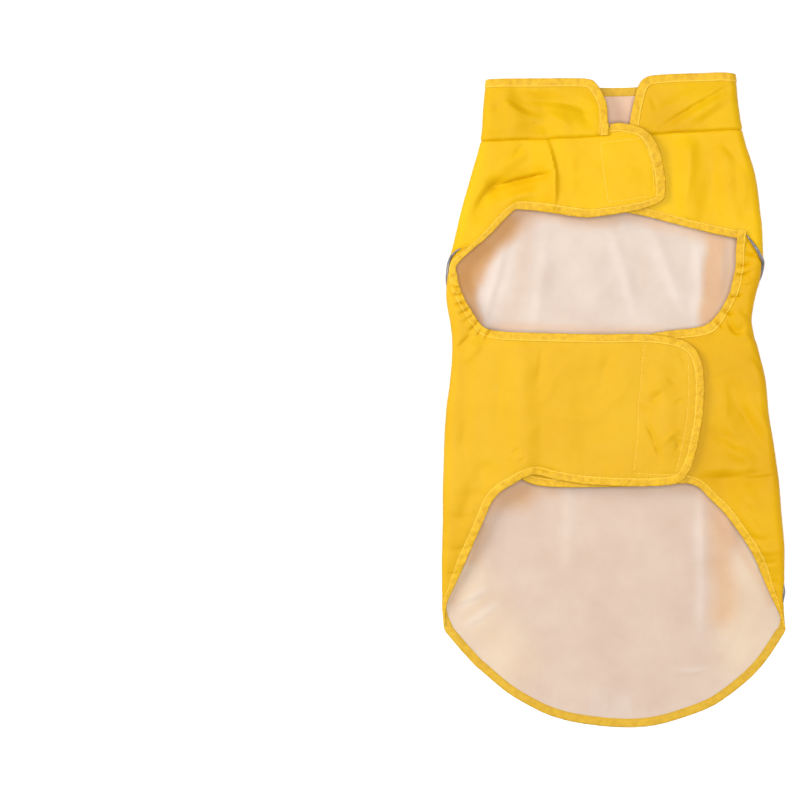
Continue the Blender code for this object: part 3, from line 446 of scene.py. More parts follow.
# The fine grid on which the sheet's form is worked out
CELL = 0.6
LOWEST = (-330.0, -252.0)     # (girth, y)
HIGHEST = (322.0, 252.0)


# ---------------------------------------------------------------- the wrapped sheet

Wrap = namedtuple("Wrap", "flat radius across")


def smoothstep(value, start, end):
    """0 at start, 1 at end, with a soft curve between."""
    share = np.clip((value - start) / (end - start), 0.0, 1.0)
    return share * share * (3.0 - 2.0 * share)


def rounded(share):
    """1 at 0 and 0 from 1 on, with a round crest and a soft foot."""
    return np.cos(np.pi / 2 * np.clip(share, 0.0, 1.0)) ** 2


def section_at(y, column):
    """A column of SECTIONS at some heights, on a smooth curve through its rows."""
    heights = np.array([row.y for row in SECTIONS])
    values = np.array([getattr(row, column) for row in SECTIONS])
    rows = np.arange(len(heights))
    above, below = np.maximum(rows - 1, 0), np.minimum(rows + 1, len(rows) - 1)
    slopes = (values[below] - values[above]) / (heights[below] - heights[above])
    y = np.clip(y, heights[-1], heights[0])
    index = np.clip(np.searchsorted(-heights, -y, side="right") - 1, 0, len(heights) - 2)
    drop = heights[index + 1] - heights[index]
    t = (y - heights[index]) / drop
    return ((2 * t**3 - 3 * t**2 + 1) * values[index]
            + (t**3 - 2 * t**2 + t) * slopes[index] * drop
            + (3 * t**2 - 2 * t**3) * values[index + 1]
            + (t**3 - t**2) * slopes[index + 1] * drop)


def wrap_at(y, side):
    """Flat half width under the coat, fold radius, and width across the belly side."""
    left, right, fold = (section_at(y, column) for column in ("left", "right", "fold"))
    right_flat = right - WALL / 2 - fold
    left_flat = -left - WALL / 2 - fold
    return Wrap(np.where(np.asarray(side) > 0, right_flat, left_flat), fold,
                right_flat + left_flat)


def girth_on_top(x, y, side):
    """Girth of a place seen from above, on the left or right part of the belly side."""
    wrap = wrap_at(y, side)
    inward = wrap.flat - side * x
    angle = np.pi - np.arcsin(np.clip(-inward / wrap.radius, 0.0, 1.0))
    past = np.where(inward >= 0, np.pi * wrap.radius + inward, angle * wrap.radius)
    return side * (wrap.flat + past)


def on_top(points, side):
    """Points seen from above, as (girth, y) on one part of the belly side."""
    points = np.asarray(points, float)
    return np.column_stack([girth_on_top(points[:, 0], points[:, 1], side), points[:, 1]])


def from_side(rows, side):
    """Rows of a piped seam as (girth, y)."""
    y = np.array([row.y for row in rows])
    wrap = wrap_at(y, side)
    reach = np.array([row.from_side for row in rows])
    return np.column_stack([side * (wrap.flat + np.pi / 2 * wrap.radius + reach), y])


def over_lift(x, y):
    """Height of the left pieces above the level of the right ones."""
    to_belly = smoothstep(y, *CHEST_TO_BELLY)
    end = UNDER_CHEST_END + (UNDER_BELLY_END - UNDER_CHEST_END) * to_belly
    lifted = smoothstep(x, end - LIFT_LEAD - LIFT_RUN, end - LIFT_LEAD)
    lowered = 1.0 - smoothstep(y, *LIFT_IN_COLLAR)
    return OVER_LIFT * lifted * lowered * (1.0 - smoothstep(y, *LIFT_IN_FLANK))


# ---------------------------------------------------------------- folds and unevenness

FAR = 1e9
FOLD_SAMPLES = 13
FOLD_TAPER = 0.38             # share of a fold's length over which it rises or fades
FOLD_SCALE = 1.6              # of the heights in TOP_FOLDS
CRISP = 0.55                  # 0 for a round fold, 1 for one with a sharp crest
NOISE_CELLS = 61
NOISE_GAIN = 1.5
FACET_BEND = 0.35             # of a crumple's facets, in shares of their size
FACET_BEND_SIZE = 1.7
FACET_DEPTH = 2.4
FACET_SOFTNESS = 0.01

# Unevenness: height, size of its hills or facets, and seed
Uneven = namedtuple("Uneven", "height size seed")
BELLY_HILLS = (Uneven(0.85, 42.0, 11), Uneven(0.26, 18.0, 12))
BELLY_FACETS = (Uneven(0.45, 31.0, 13), Uneven(0.14, 13.0, 14))
BACK_HILLS = Uneven(0.5, 46.0, 21)
BACK_HILL_RISE = 0.12
BACK_FACETS = Uneven(0.22, 24.0, 22)


def beside_line(x, y, start, end):
    """Share along a straight line, distance from it, and the side: + to its left."""
    step = np.subtract(end, start)
    dx, dy = x - start[0], y - start[1]
    share = (dx * step[0] + dy * step[1]) / (step @ step)
    held = np.clip(share, 0.0, 1.0)
    distance = np.hypot(dx - held * step[0], dy - held * step[1])
    return share, distance, np.sign(step[0] * dy - step[1] * dx)


def straight_crease(x, y, crease):
    """Height of one broad crease."""
    distance = beside_line(x, y, (crease.x1, crease.y1), (crease.x2, crease.y2))[1]
    return crease.height * rounded(distance / crease.width)


def bend_through(fold):
    """Points on a bend through a fold's three places."""
    start, middle, end = (np.array(place) for place in
                          ((fold.x1, fold.y1), (fold.x2, fold.y2), (fold.x3, fold.y3)))
    control = 2.0 * middle - (start + end) / 2.0
    share = np.linspace(0.0, 1.0, FOLD_SAMPLES)[:, None]
    return (1 - share)**2 * start + 2 * share * (1 - share) * control + share**2 * end


def add_fold(relief, x, y, fold):
    """Adds one fine fold to the relief, where it reaches."""
    path = bend_through(fold)
    reach = fold.width * (1.0 + abs(fold.lean))
    low, high = path.min(0) - reach, path.max(0) + reach
    near = (x > low[0]) & (x < high[0]) & (y > low[1]) & (y < high[1])
    if not near.any():
        return
    gap = np.full(int(near.sum()), FAR)
    along = np.zeros(gap.shape)
    side = np.zeros(gap.shape)
    for index in range(FOLD_SAMPLES - 1):
        share, distance, turned = beside_line(x[near], y[near], path[index], path[index + 1])
        closer = distance < gap
        gap[closer] = distance[closer]
        side[closer] = turned[closer]
        along[closer] = (index + np.clip(share, 0.0, 1.0)[closer]) / (FOLD_SAMPLES - 1)
    inside = np.clip(gap / (fold.width * (1.0 + fold.lean * side)), 0.0, 1.0)
    profile = (1.0 - CRISP) * rounded(inside) + CRISP * (1.0 - inside) ** 2
    taper = smoothstep(along, 0.0, FOLD_TAPER) * (1.0 - smoothstep(along, 1.0 - FOLD_TAPER, 1.0))
    relief[near] += fold.height * profile * taper


def fold_heights(x, y, folds):
    """Height of all the fine folds of a table."""
    relief = np.zeros(x.shape)
    for fold in folds:
        add_fold(relief, x, y, fold)
    return relief


def noise(x, y, size, seed):
    """Soft noise from about -1 to 1, whose hills and hollows are about a size apart."""
    angles = np.random.default_rng(seed).uniform(0.0, 2 * np.pi, (NOISE_CELLS, NOISE_CELLS))
    u, v = np.broadcast_arrays(x / size, y / size)
    column, row = np.floor(u).astype(int), np.floor(v).astype(int)
    u, v = u - column, v - row
    fade_u, fade_v = u**3 * (u * (u * 6 - 15) + 10), v**3 * (v * (v * 6 - 15) + 10)
    total = np.zeros(u.shape)
    for right, weight_u in ((0, 1 - fade_u), (1, fade_u)):
        for up, weight_v in ((0, 1 - fade_v), (1, fade_v)):
            angle = angles[(column + right) % NOISE_CELLS, (row + up) % NOISE_CELLS]
            slope = np.cos(angle) * (u - right) + np.sin(angle) * (v - up)
            total += weight_u * weight_v * slope
    return NOISE_GAIN * total


def crumple(x, y, size, seed):
    """Noise with soft ridges between flatter facets, from about -1 to 1."""
    bend, bend_size = FACET_BEND * size, FACET_BEND_SIZE * size
    bent_x = x + bend * noise(x, y, bend_size, seed + 1)
    bent_y = y + bend * noise(x, y, bend_size, seed + 2)
    ridges = noise(bent_x, bent_y, size, seed) ** 2
    return 1.0 - FACET_DEPTH * np.sqrt(ridges + FACET_SOFTNESS)


def uneven(shape, x, y, row):
    """Height of noise or crumple with the sizes of a row."""
    return row.height * shape(x, y, row.size, row.seed)


def gather_strength(x, y, side):
    """How strongly the cloth is gathered at places seen from above."""
    total = np.zeros(np.shape(x))
    for gather in GATHERS:
        gap = np.hypot(x - gather.x, y - gather.y)
        total += (side == gather.side) * gather.strength * np.exp(-(gap / gather.reach) ** 2)
    return total


# ---------------------------------------------------------------- curves on the sheet

EDGE_STEP = 0.9
NORMAL_REACH = 2.6
CHUNK = 4000                  # points that are measured at a time
TINY = 1e-9


def smooth_curve(points, step=EDGE_STEP):
    """Points a step apart on a smooth curve through the given ones."""
    points = np.asarray(points, float)
    ends = np.vstack([2 * points[0] - points[1], points, 2 * points[-1] - points[-2]])
    curve = [points[:1]]
    for before, start, end, after in zip(ends, ends[1:], ends[2:], ends[3:]):
        count = max(2, math.ceil(np.linalg.norm(end - start) / step * 2))
        t = (np.arange(1, count + 1) / count)[:, None]
        curve.append(0.5 * (2 * start + (end - before) * t
                            + (2 * before - 5 * start + 4 * end - after) * t**2
                            + (3 * start - 3 * end + after - before) * t**3))
    return spaced(np.vstack(curve), step)


def lengths_along(curve):
    """Length from the curve's start to each of its points."""
    steps = np.linalg.norm(np.diff(curve, axis=0), axis=1)
    return np.concatenate([[0.0], np.cumsum(steps)])


def spaced(curve, step):
    """The curve with its points an even step apart."""
    lengths = lengths_along(curve)
    count = max(1, round(lengths[-1] / step))
    wanted = np.linspace(0.0, lengths[-1], count + 1)
    return np.column_stack([np.interp(wanted, lengths, curve[:, axis]) for axis in (0, 1)])


def unit(vectors):
    """Vectors at length 1."""
    return vectors / np.linalg.norm(vectors, axis=-1, keepdims=True)


def left_normals(curve, reach=NORMAL_REACH):
    """Directions to the curve's left, rounded a little at its corners."""
    step = lengths_along(curve)[-1] / (len(curve) - 1)
    span = max(1, round(reach / step))
    index = np.arange(len(curve))
    ahead = curve[np.minimum(index + span, len(curve) - 1)]
    behind = curve[np.maximum(index - span, 0)]
    along = unit(ahead - behind)
    return np.column_stack([-along[:, 1], along[:, 0]])


def moved(curve, distance):
    """The curve moved to its left by a distance, or by one for each point."""
    return curve + left_normals(curve) * np.reshape(distance, (-1, 1))


def nearest(curve, place):
    """Index of the curve's point that is nearest to a place."""
    return int(np.argmin(np.linalg.norm(curve - place, axis=1)))


def distance_to(points, curve):
    """Distance of each point from a curve whose points lie close together."""
    best = np.empty(len(points))
    start, step = curve[:-1], np.diff(curve, axis=0)
    squares = np.maximum((step ** 2).sum(1), TINY)
    for first in range(0, len(points), CHUNK):
        part = points[first:first + CHUNK, None, :] - start[None]
        t = np.clip((part * step[None]).sum(2) / squares, 0.0, 1.0)
        gaps = np.linalg.norm(part - t[..., None] * step[None], axis=2)
        best[first:first + CHUNK] = gaps.min(1)
    return best


def closed(outline):
    """The outline with its first point again at its end."""
    return np.vstack([outline, outline[:1]])


left_edge = smooth_curve(on_top(LEFT_CHEST_EDGE + LEFT_BELLY_EDGE, LEFT))
right_chest_edge = smooth_curve(on_top(RIGHT_CHEST_EDGE, RIGHT))
right_belly_edge = smooth_curve(on_top(RIGHT_CHEST_EDGE[-1:] + RIGHT_BELLY_EDGE, RIGHT))
right_edge = np.vstack([right_chest_edge[:-1], right_belly_edge])
collar_edge = smooth_curve(np.vstack([on_top(COLLAR_RIGHT_EDGE, RIGHT), COLLAR_BACK_EDGE,
                                      on_top(COLLAR_LEFT_EDGE, LEFT)]))
collar_seam = smooth_curve(np.vstack([on_top(COLLAR_SEAM_RIGHT, RIGHT), COLLAR_SEAM_BACK,
                                      on_top(COLLAR_SEAM_LEFT, LEFT)]))
hem_edge = smooth_curve(HEM_EDGE)
left_seam = smooth_curve(from_side(LEFT_PIPED_SEAM, LEFT))
right_seam = smooth_curve(from_side(RIGHT_PIPED_SEAM, RIGHT))

# Corners at which the chest bindings end and the belly bindings start
left_corner = nearest(left_edge, on_top(LEFT_CHEST_EDGE[-1:], LEFT)[0])
right_corner = len(right_chest_edge) - 1
left_back_corner = nearest(left_edge, left_seam[0])

# Curves along which the cloth puckers, how far the puckers reach, and their height
Puckered = namedtuple("Puckered", "curve reach height")
PUCKERED = [
    Puckered(left_edge, 11.0, 0.34),
    Puckered(right_edge, 11.0, 0.34),
    Puckered(collar_edge, 8.0, 0.20),
    Puckered(hem_edge, 8.0, 0.14),
    Puckered(left_seam, 11.0, 0.62),
    Puckered(right_seam, 11.0, 0.62),
    Puckered(collar_seam, 7.0, 0.26),
]
PUCKER_WAVES = Uneven(0.7, 7.0, 40)      # a seed more for each curve
PUCKER_RIDGES = Uneven(1.1, 5.2, 50)
PUCKER_SOFTNESS = 0.004
PUCKER_DROP = 0.35
PUCKER_DRIFT = 0.25                      # how fast puckers change away from their curve
PUCKER_REACHES = 3.2                     # after so many reaches they are gone


# ---------------------------------------------------------------- relief of the sheet

BELLY_TURN = (0.25, 0.9)      # turn of the side folds over which the belly's folds rise
BACK_BORDER = (-9.0, 2.0)     # from the back's flat width: its folds fade between these


class Sheet:
    """Places and outward directions of the wrapped cloth's middle, on a fine grid."""

    def __init__(self):
        self.girths = np.arange(LOWEST[0], HIGHEST[0], CELL)
        self.heights = np.arange(LOWEST[1], HIGHEST[1], CELL)
        self.girth, self.y = np.meshgrid(self.girths, self.heights)
        self.side = np.where(self.girth >= 0, 1.0, -1.0)
        wrap = wrap_at(self.y, self.side)
        along = np.abs(self.girth)
        angle = np.clip((along - wrap.flat) / wrap.radius, 0.0, np.pi)
        inward = along - wrap.flat - np.pi * wrap.radius
        self.turn = angle / np.pi                         # 0 under the coat, 1 on top
        self.chart_x = self.side * (wrap.flat - inward)   # x on top, unrolled past the fold
        self.place = self.wrapped(wrap, along, angle, inward)
        outward = np.stack([self.side * np.sin(angle), np.zeros(angle.shape),
                            -np.cos(angle)], axis=2)
        self.place += outward * self.relief(wrap, inward)[..., None]
        self.place[..., 2] = np.maximum(self.place[..., 2], WALL / 2)
        across, up = np.gradient(self.place, axis=1), np.gradient(self.place, axis=0)
        self.outward = unit(-np.cross(across, up))

    def wrapped(self, wrap, along, angle, inward):
        """Middle of the wall without its relief."""
        x = np.where(inward > 0, self.chart_x,
                     self.side * (np.minimum(along, wrap.flat) + wrap.radius * np.sin(angle)))
        z = WALL / 2 + wrap.radius * (1.0 - np.cos(angle))
        return np.stack([x, self.y, z], axis=2)

    def relief(self, wrap, inward):
        """Height of the cloth's folds and puckers out of the coat."""
        puckers = self.puckers()
        on_belly = smoothstep(self.turn, *BELLY_TURN) * smoothstep(wrap.radius, *CALM_FOLD)
        border = [wrap.flat + offset for offset in BACK_BORDER]
        on_back = 1.0 - smoothstep(np.abs(self.girth), *border)
        return (np.where(inward > 0, self.broad_form(wrap, inward), 0.0)
                + on_belly * (self.belly_folds() + puckers)
                - on_back * (self.back_folds() + np.maximum(0.0, puckers)))

    def broad_form(self, wrap, inward):
        """Creases, sag and lifted flaps of the belly side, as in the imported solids."""
        from_fold = np.minimum(inward, wrap.across - inward)
        creases = sum(straight_crease(self.chart_x, self.y, crease) for crease in CREASES)
        form = smoothstep(from_fold, 0.0, SIDE_RUN) * creases
        form -= SAG * smoothstep(from_fold, 0.0, SAG_RUN)
        return form + np.where(self.side < 0, over_lift(self.chart_x, self.y), 0.0)

    def belly_folds(self):
        """Fine folds of the belly side, over hills and crumples."""
        x, y = self.chart_x, self.y
        return (FOLD_SCALE * fold_heights(x, y, TOP_FOLDS)
                + sum(uneven(noise, x, y, row) for row in BELLY_HILLS)
                + sum(uneven(crumple, x, y, row) for row in BELLY_FACETS))

    def back_folds(self):
        """How far the back's folds lift it off the floor."""
        x, y = self.girth, self.y
        return (fold_heights(x, y, BACK_FOLDS)
                + np.maximum(0.0, uneven(noise, x, y, BACK_HILLS) + BACK_HILL_RISE)
                + np.maximum(0.0, uneven(crumple, x, y, BACK_FACETS)))

    def puckers(self):
        """Small gathers that run in from the bound edges and the piped seams."""
        strength = GATHER_EVERYWHERE + gather_strength(self.chart_x, self.y, self.side)
        total = np.zeros(self.girth.shape)
        for index, row in enumerate(PUCKERED):
            gap, length = self.stamp(row.curve, PUCKER_REACHES * row.reach)
            waves, ridges = (noise(length, PUCKER_DRIFT * gap, kind.size, kind.seed + index)
                             for kind in (PUCKER_WAVES, PUCKER_RIDGES))
            waves = PUCKER_WAVES.height * waves - PUCKER_DROP
            waves += PUCKER_RIDGES.height * np.sqrt(ridges ** 2 + PUCKER_SOFTNESS)
            total += row.height * strength * waves * np.exp(-(gap / row.reach) ** 2)
        return total

    def stamp(self, curve, reach):
        """Distance from a curve, and length along it, at the cells within its reach."""
        gap = np.full(self.girth.shape, FAR)
        length = np.zeros(self.girth.shape)
        cells = int(reach / CELL) + 1
        for place, normal, start in zip(curve, left_normals(curve, EDGE_STEP),
                                        lengths_along(curve)):
            column, row = ((place - LOWEST) / CELL).astype(int)
            rows = slice(max(row - cells, 0), row + cells)
            columns = slice(max(column - cells, 0), column + cells)
            across = self.girths[columns][None, :] - place[0]
            up = self.heights[rows][:, None] - place[1]
            square = across ** 2 + up ** 2
            closer = square < gap[rows, columns]
            gap[rows, columns][closer] = square[closer]
            along = start + across * normal[1] - up * normal[0]
            length[rows, columns][closer] = along[closer]
        return np.sqrt(gap), length

    def sample(self, values, places):
        """Grid values at places between the cells."""
        u, v = ((places - LOWEST) / CELL).T
        column = np.clip(u.astype(int), 0, len(self.girths) - 2)
        row = np.clip(v.astype(int), 0, len(self.heights) - 2)
        u, v = u - column, v - row
        if values.ndim == 3:
            u, v = u[:, None], v[:, None]
        return ((1 - v) * ((1 - u) * values[row, column] + u * values[row, column + 1])
                + v * ((1 - u) * values[row + 1, column] + u * values[row + 1, column + 1]))

    def points(self, places, level):
        """Points at a level above or below the middle of the wall, in metres."""
        outward = unit(self.sample(self.outward, places))
        return (self.sample(self.place, places) + np.reshape(level, (-1, 1)) * outward) * MM

    def turned(self, places):
        """0 where the outside faces the floor, 1 on the belly side."""
        return smoothstep(self.sample(self.turn, places), 0.0, 1.0)


SHEET = Sheet()


def tape_middle(places):
    """Level of a folded binding's middle: it rests on the floor under the back."""
    return (1.0 - SHEET.turned(places)) * (OUTER_SKIN - TAPE_HALF)


def bead_level(places):
    """Level of the middle of a piping bead: proud on top, on the floor under the back."""
    turn = SHEET.turned(places)
    return turn - (1.0 - turn) * (PIPING_RADIUS - OUTER_SKIN)


# ---------------------------------------------------------------- materials

COLOR_A, COLOR_B, COLOR_OUT = 6, 7, 2      # a colour Mix node's sockets
WAVES_AT_ONE = 20 / (2 * math.pi)          # a metre, from a wave node at scale 1
CLOTH_THREADS = 1500.0        # a metre
TAPE_THREADS = 1250.0

# Painted light and shade along a binding's inner edge: a painted highlight on its stitched rim,
# then a painted shadow where it meets the cloth. Colours that start and are full at these shares of
# a binding's width, and how strongly
PaintedTapeEdge = namedtuple("PaintedTapeEdge", "start end strength color")
PAINTED_TAPE_EDGES = [
    # painted highlight along the stitched rim
    PaintedTapeEdge(0.76, 0.86, 0.75, (0.72, 0.45, 0.028)),
    # painted shadow at the binding's inner edge
    PaintedTapeEdge(0.93, 0.97, 0.8, (0.52, 0.27, 0.006)),
]


class Look:
    """A Principled material that is put together from nodes. Its sizes are in metres."""

    def __init__(self, name):
        self.material = bpy.data.materials.new(name)
        self.material.use_nodes = True
        self.tree = self.material.node_tree
        self.shader = self.tree.nodes["Principled BSDF"]

    def put(self, node, inputs):
        """Puts values, or other nodes' outputs, into a node's inputs."""
        for key, value in inputs.items():
            socket = node.inputs[key]
            if isinstance(value, bpy.types.NodeSocket):
                self.tree.links.new(value, socket)
            elif socket.type == "RGBA":
                socket.default_value = (*value, 1.0)
            else:
                socket.default_value = value

    def node(self, kind, inputs, output=0, **settings):
        """Adds a node, and gives one of its outputs."""
        made = self.tree.nodes.new("ShaderNode" + kind)
        for key, value in settings.items():
            setattr(made, key, value)
        self.put(made, inputs)
        return made.outputs[output]

    def mixed(self, share, first, second, blend="MIX"):
        """Two colours mixed by a share."""
        return self.node("Mix", {"Factor": share, COLOR_A: first, COLOR_B: second}, COLOR_OUT,
                         data_type="RGBA", blend_type=blend)

    def ranged(self, value, low, high, start=0.0, end=1.0, shape="LINEAR"):
        """A value between start and end, spread from low to high."""
        return self.node("MapRange", {"Value": value, "From Min": start, "From Max": end,
                                      "To Min": low, "To Max": high},
                         interpolation_type=shape)

    def clouds(self, size, detail=3.0, roughness=0.5, shift=(0.0, 0.0, 0.0)):
        """Noise over the object, with patches of about a size."""
        place = self.node("TexCoord", {}, "Object")
        place = self.node("Mapping", {"Vector": place, "Location": shift})
        return self.node("TexNoise", {"Vector": place, "Scale": 1.0 / size, "Detail": detail,
                                      "Roughness": roughness}, "Fac")

    def lumps(self, size, detail=3.0, seed=0.0):
        """Height of small lumps and dents."""
        return self.clouds(size, detail, shift=(seed, 0.0, seed))

    def shaded(self, color, dark, size, seed, detail=4.0, low=0.35, high=0.68):
        """A colour that drifts towards a darker one over patches of about a size."""
        clouds = self.clouds(size, detail, 0.55, (seed, seed, 0.0))
        return self.mixed(self.ranged(clouds, 0.0, 1.0, low, high), color, dark)

    def along_sheet(self):
        """Place along the cloth, from the UV map."""
        return self.node("UVMap", {}, "UV", uv_map="sheet")

    def weave(self, threads):
        """Height of a plain weave along the sheet, with so many threads a metre."""
        scale = threads / WAVES_AT_ONE
        waves = [self.node("TexWave", {"Vector": self.along_sheet(), "Scale": scale,
                                       "Distortion": 0.0, "Detail": 0.0}, "Fac",
                           wave_type="BANDS", bands_direction=direction)
                 for direction in ("X", "Y")]
        return self.node("Math", dict(enumerate(waves)), operation="MULTIPLY")

    def bumps(self, *layers):
        """Bumps on one another: (height, distance, strength) for each layer."""
        normal = {}
        for height, distance, strength in layers:
            inputs = {"Height": height, "Distance": distance, "Strength": strength}
            normal = {"Normal": self.node("Bump", inputs | normal)}
        return normal["Normal"]

    def finish(self, color, roughness, normal, **values):
        """The material with its surface's colour, roughness, bumps and other values."""
        self.put(self.shader, {"Base Color": color, "Roughness": roughness, "Normal": normal})
        self.put(self.shader, {key.replace("_", " "): value for key, value in values.items()})
        return self.material

    def thin(self, color, normal, share):
        """Lets a share of the light pass through the cloth."""
        through = self.node("BsdfTranslucent", {"Color": color, "Normal": normal})
        mix = self.node("MixShader", {"Fac": share, 1: self.shader.outputs[0], 2: through})
        self.put(self.tree.nodes["Material Output"], {"Surface": mix})


def coated_cloth(name, color, dark, seed):
    """Waterproof coated weave: a soft sheen over a fine, slightly crumpled cloth."""
    look = Look(name)
    tone = look.shaded(color, dark, 0.055, seed)
    normal = look.bumps((look.lumps(0.009, 3.0, seed), 0.0006, 0.25),
                        (look.weave(CLOTH_THREADS), 0.00005, 0.55))
    look.thin(tone, normal, 0.38)
    rough = look.ranged(look.lumps(0.02, 4.0, seed), 0.44, 0.60)
    return look.finish(tone, rough, normal, Specular_IOR_Level=0.17)


def inside_cloth():
    """The cloth's inside, in the tones of its mesh, which hold painted light and shade, with faint
    mottling.
    """
    look = Look("cloth_inside")
    tone = look.node("Attribute", {}, "Color", attribute_name="tone",
                     attribute_type="GEOMETRY")
    mottle = look.shaded((1.0, 1.0, 1.0), (0.94, 0.90, 0.88), 0.03, 2.0)
    tone = look.mixed(1.0, tone, mottle, "MULTIPLY")
    normal = look.bumps((look.lumps(0.012), 0.0005, 0.2),
                        (look.weave(CLOTH_THREADS), 0.00005, 0.5))
    look.thin(tone, normal, 0.35)
    rough = look.ranged(look.lumps(0.03), 0.5, 0.65)
    return look.finish(tone, rough, normal, Specular_IOR_Level=0.25)


def tape_material():
    """Folded binding tape: matt, lightly mottled, with a painted highlight along its stitched inner
    edge and a painted shadow at that edge.
    """
    look = Look("binding_tape")
    color = look.shaded((0.64, 0.375, 0.009), (0.53, 0.29, 0.005), 0.0042, 1.0, 4.0, 0.38, 0.66)
    across = look.node("SeparateXYZ", {"Vector": look.along_sheet()}, "Y")
    for row in PAINTED_TAPE_EDGES:
        share = look.ranged(across, 0.0, row.strength, row.start * TAPE_WIDTH * MM,
                            row.end * TAPE_WIDTH * MM, "SMOOTHSTEP")
        color = look.mixed(share, color, row.color)
    inside = look.node("Math", {0: across, 1: 0.0}, operation="LESS_THAN")
    inner = look.shaded((0.57, 0.34, 0.016), (0.48, 0.27, 0.009), 0.004, 8.0)
    normal = look.bumps((look.lumps(0.0024, 2.0, 3.0), 0.0004, 0.35),
                        (look.weave(TAPE_THREADS), 0.00006, 0.7))
    rough = look.ranged(look.lumps(0.004), 0.5, 0.7)
    return look.finish(look.mixed(inside, color, inner), rough, normal, Specular_IOR_Level=0.25)


def thread_material(name, light, dark):
    """Sewing thread."""
    look = Look(name)
    return look.finish(look.shaded(light, dark, 0.004, 5.0), 0.55,
                       look.bumps((look.lumps(0.0005, 1.0), 0.0001, 0.5)))


def piping_material():
    """Reflective piping: grey woven glass-bead tape round a cord."""
    look = Look("reflective_piping")
    color = look.shaded((0.22, 0.205, 0.215), (0.13, 0.12, 0.13), 0.005, 4.0, 3.0)
    rough = look.ranged(look.lumps(0.003), 0.28, 0.42)
    return look.finish(color, rough, look.bumps((look.lumps(0.0007, 1.0), 0.0001, 0.5)),
                       Metallic=0.25)


def hook_material():
    """Hook or loop tape."""
    look = Look("hook_and_loop")
    color = look.shaded((0.83, 0.55, 0.09), (0.66, 0.38, 0.04), 0.0015, 6.0)
    return look.finish(color, 0.9, look.bumps((look.lumps(0.0008, 2.0), 0.0008, 0.9)),
                       Sheen_Weight=0.3)


# One coated cloth in four copies whose colours differ a little: painted light and shade, lightest
# on the back panel and darkest on the right side panel.
BACK_CLOTH, LEFT_CLOTH, RIGHT_CLOTH, COLLAR_CLOTH = (
    coated_cloth("coated_cloth_" + name, color, dark, seed) for name, color, dark, seed in (
        ("back", (0.92, 0.595, 0.003), (0.87, 0.52, 0.002), 0.0),
        ("left", (0.855, 0.53, 0.016), (0.82, 0.485, 0.011), 1.0),
        ("right", (0.85, 0.505, 0.002), (0.78, 0.435, 0.001), 2.0),
        ("collar", (0.87, 0.55, 0.003), (0.79, 0.455, 0.002), 3.0)))
INSIDE = inside_cloth()
TAPE = tape_material()
THREAD = thread_material("thread", (0.82, 0.54, 0.06), (0.72, 0.44, 0.03))
INSIDE_THREAD = thread_material("thread_inside", (0.58, 0.35, 0.02), (0.48, 0.28, 0.01))
SLOT_THREAD = thread_material("thread_slot", (0.97, 0.76, 0.20), (0.90, 0.66, 0.12))
PIPING = piping_material()
HOOK = hook_material()


# ---------------------------------------------------------------- meshes

SHARP_EDGE = math.radians(50)
EDGE_ROWS = (0.5, 1.0, 1.5, 2.0, 2.6, 3.4)    # rows of points inside an outline
EDGE_ROW_STEP = 1.3
ROW_CLEAR = 0.85              # share of a row's distance that its points keep
PATTERN_CLEAR = 0.4           # from the last row, in shares of the pattern's spacing
HOLE_CLEAR = 0.5
FINE_BORDER = 4.0             # the fine pattern starts so far inside the back's flat width
JOINED = 1e-5                 # points nearer than this become one
PANEL_SPACING = (1.4, 2.2)    # of a panel's points, on top and under the coat


def link(thing, name):
    """A new object in the scene."""
    made = bpy.data.objects.new(name, thing)
    bpy.context.scene.collection.objects.link(made)
    return made


def add_object(name, vertices, triangles, materials, uvs, indices=None):
    """A mesh object that rides on the coat, with its UV map along the sheet."""
    mesh = bpy.data.meshes.new(name)
    triangles = np.asarray(triangles, dtype=np.int32)
    mesh.vertices.add(len(vertices))
    mesh.vertices.foreach_set("co", np.asarray(vertices, dtype=np.float32).ravel())
    mesh.loops.add(triangles.size)
    mesh.loops.foreach_set("vertex_index", triangles.ravel())
    mesh.polygons.add(len(triangles))
    mesh.polygons.foreach_set("loop_start", np.arange(0, triangles.size, 3, dtype=np.int32))
    if indices is not None:
        mesh.polygons.foreach_set("material_index", np.asarray(indices, dtype=np.int32))
    layer = mesh.uv_layers.new(name="sheet")
    layer.uv.foreach_set("vector", (uvs[triangles.ravel()] * MM).astype(np.float32).ravel())
    mesh.update(calc_edges=True)
    mesh.shade_smooth()
    mesh.set_sharp_from_angle(angle=SHARP_EDGE)
    for material in materials:
        mesh.materials.append(material)
    piece = link(mesh, name)
    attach(piece, "root")
    return piece


def hex_points(outline, spacing):
    """Points of an even triangular pattern over an outline's box."""
    low, high = outline.min(0), outline.max(0)
    rise = spacing * math.sqrt(3) / 2
    rows = np.arange(low[1], high[1] + rise, rise)
    columns = np.arange(low[0], high[0] + spacing, spacing)
    girth, y = np.meshgrid(columns, rows)
    girth = girth + (np.arange(len(rows)) % 2)[:, None] * spacing / 2
    return np.column_stack([girth.ravel(), y.ravel()])


def fill_points(outline, spacings):
    """Inner points for an outline: rows along its edge, then a pattern, finer on top."""
    border = spaced(closed(outline), EDGE_ROW_STEP)
    points = []
    for distance in EDGE_ROWS:
        row = moved(border, distance)
        points.append(row[distance_to(row, border) > ROW_CLEAR * distance])
    gaps = SHEET.stamp(border, 2 * EDGE_ROWS[-1])[0]
    for spacing, on_the_top in zip(spacings, (True, False)):
        pattern = hex_points(outline, spacing)
        wrap = wrap_at(pattern[:, 1], np.where(pattern[:, 0] >= 0, 1, -1))
        pattern = pattern[(np.abs(pattern[:, 0]) > wrap.flat - FINE_BORDER) == on_the_top]
        gap = SHEET.sample(gaps, pattern)
        points.append(pattern[gap > EDGE_ROWS[-1] + PATTERN_CLEAR * spacing])
    return border[:-1], np.vstack(points)


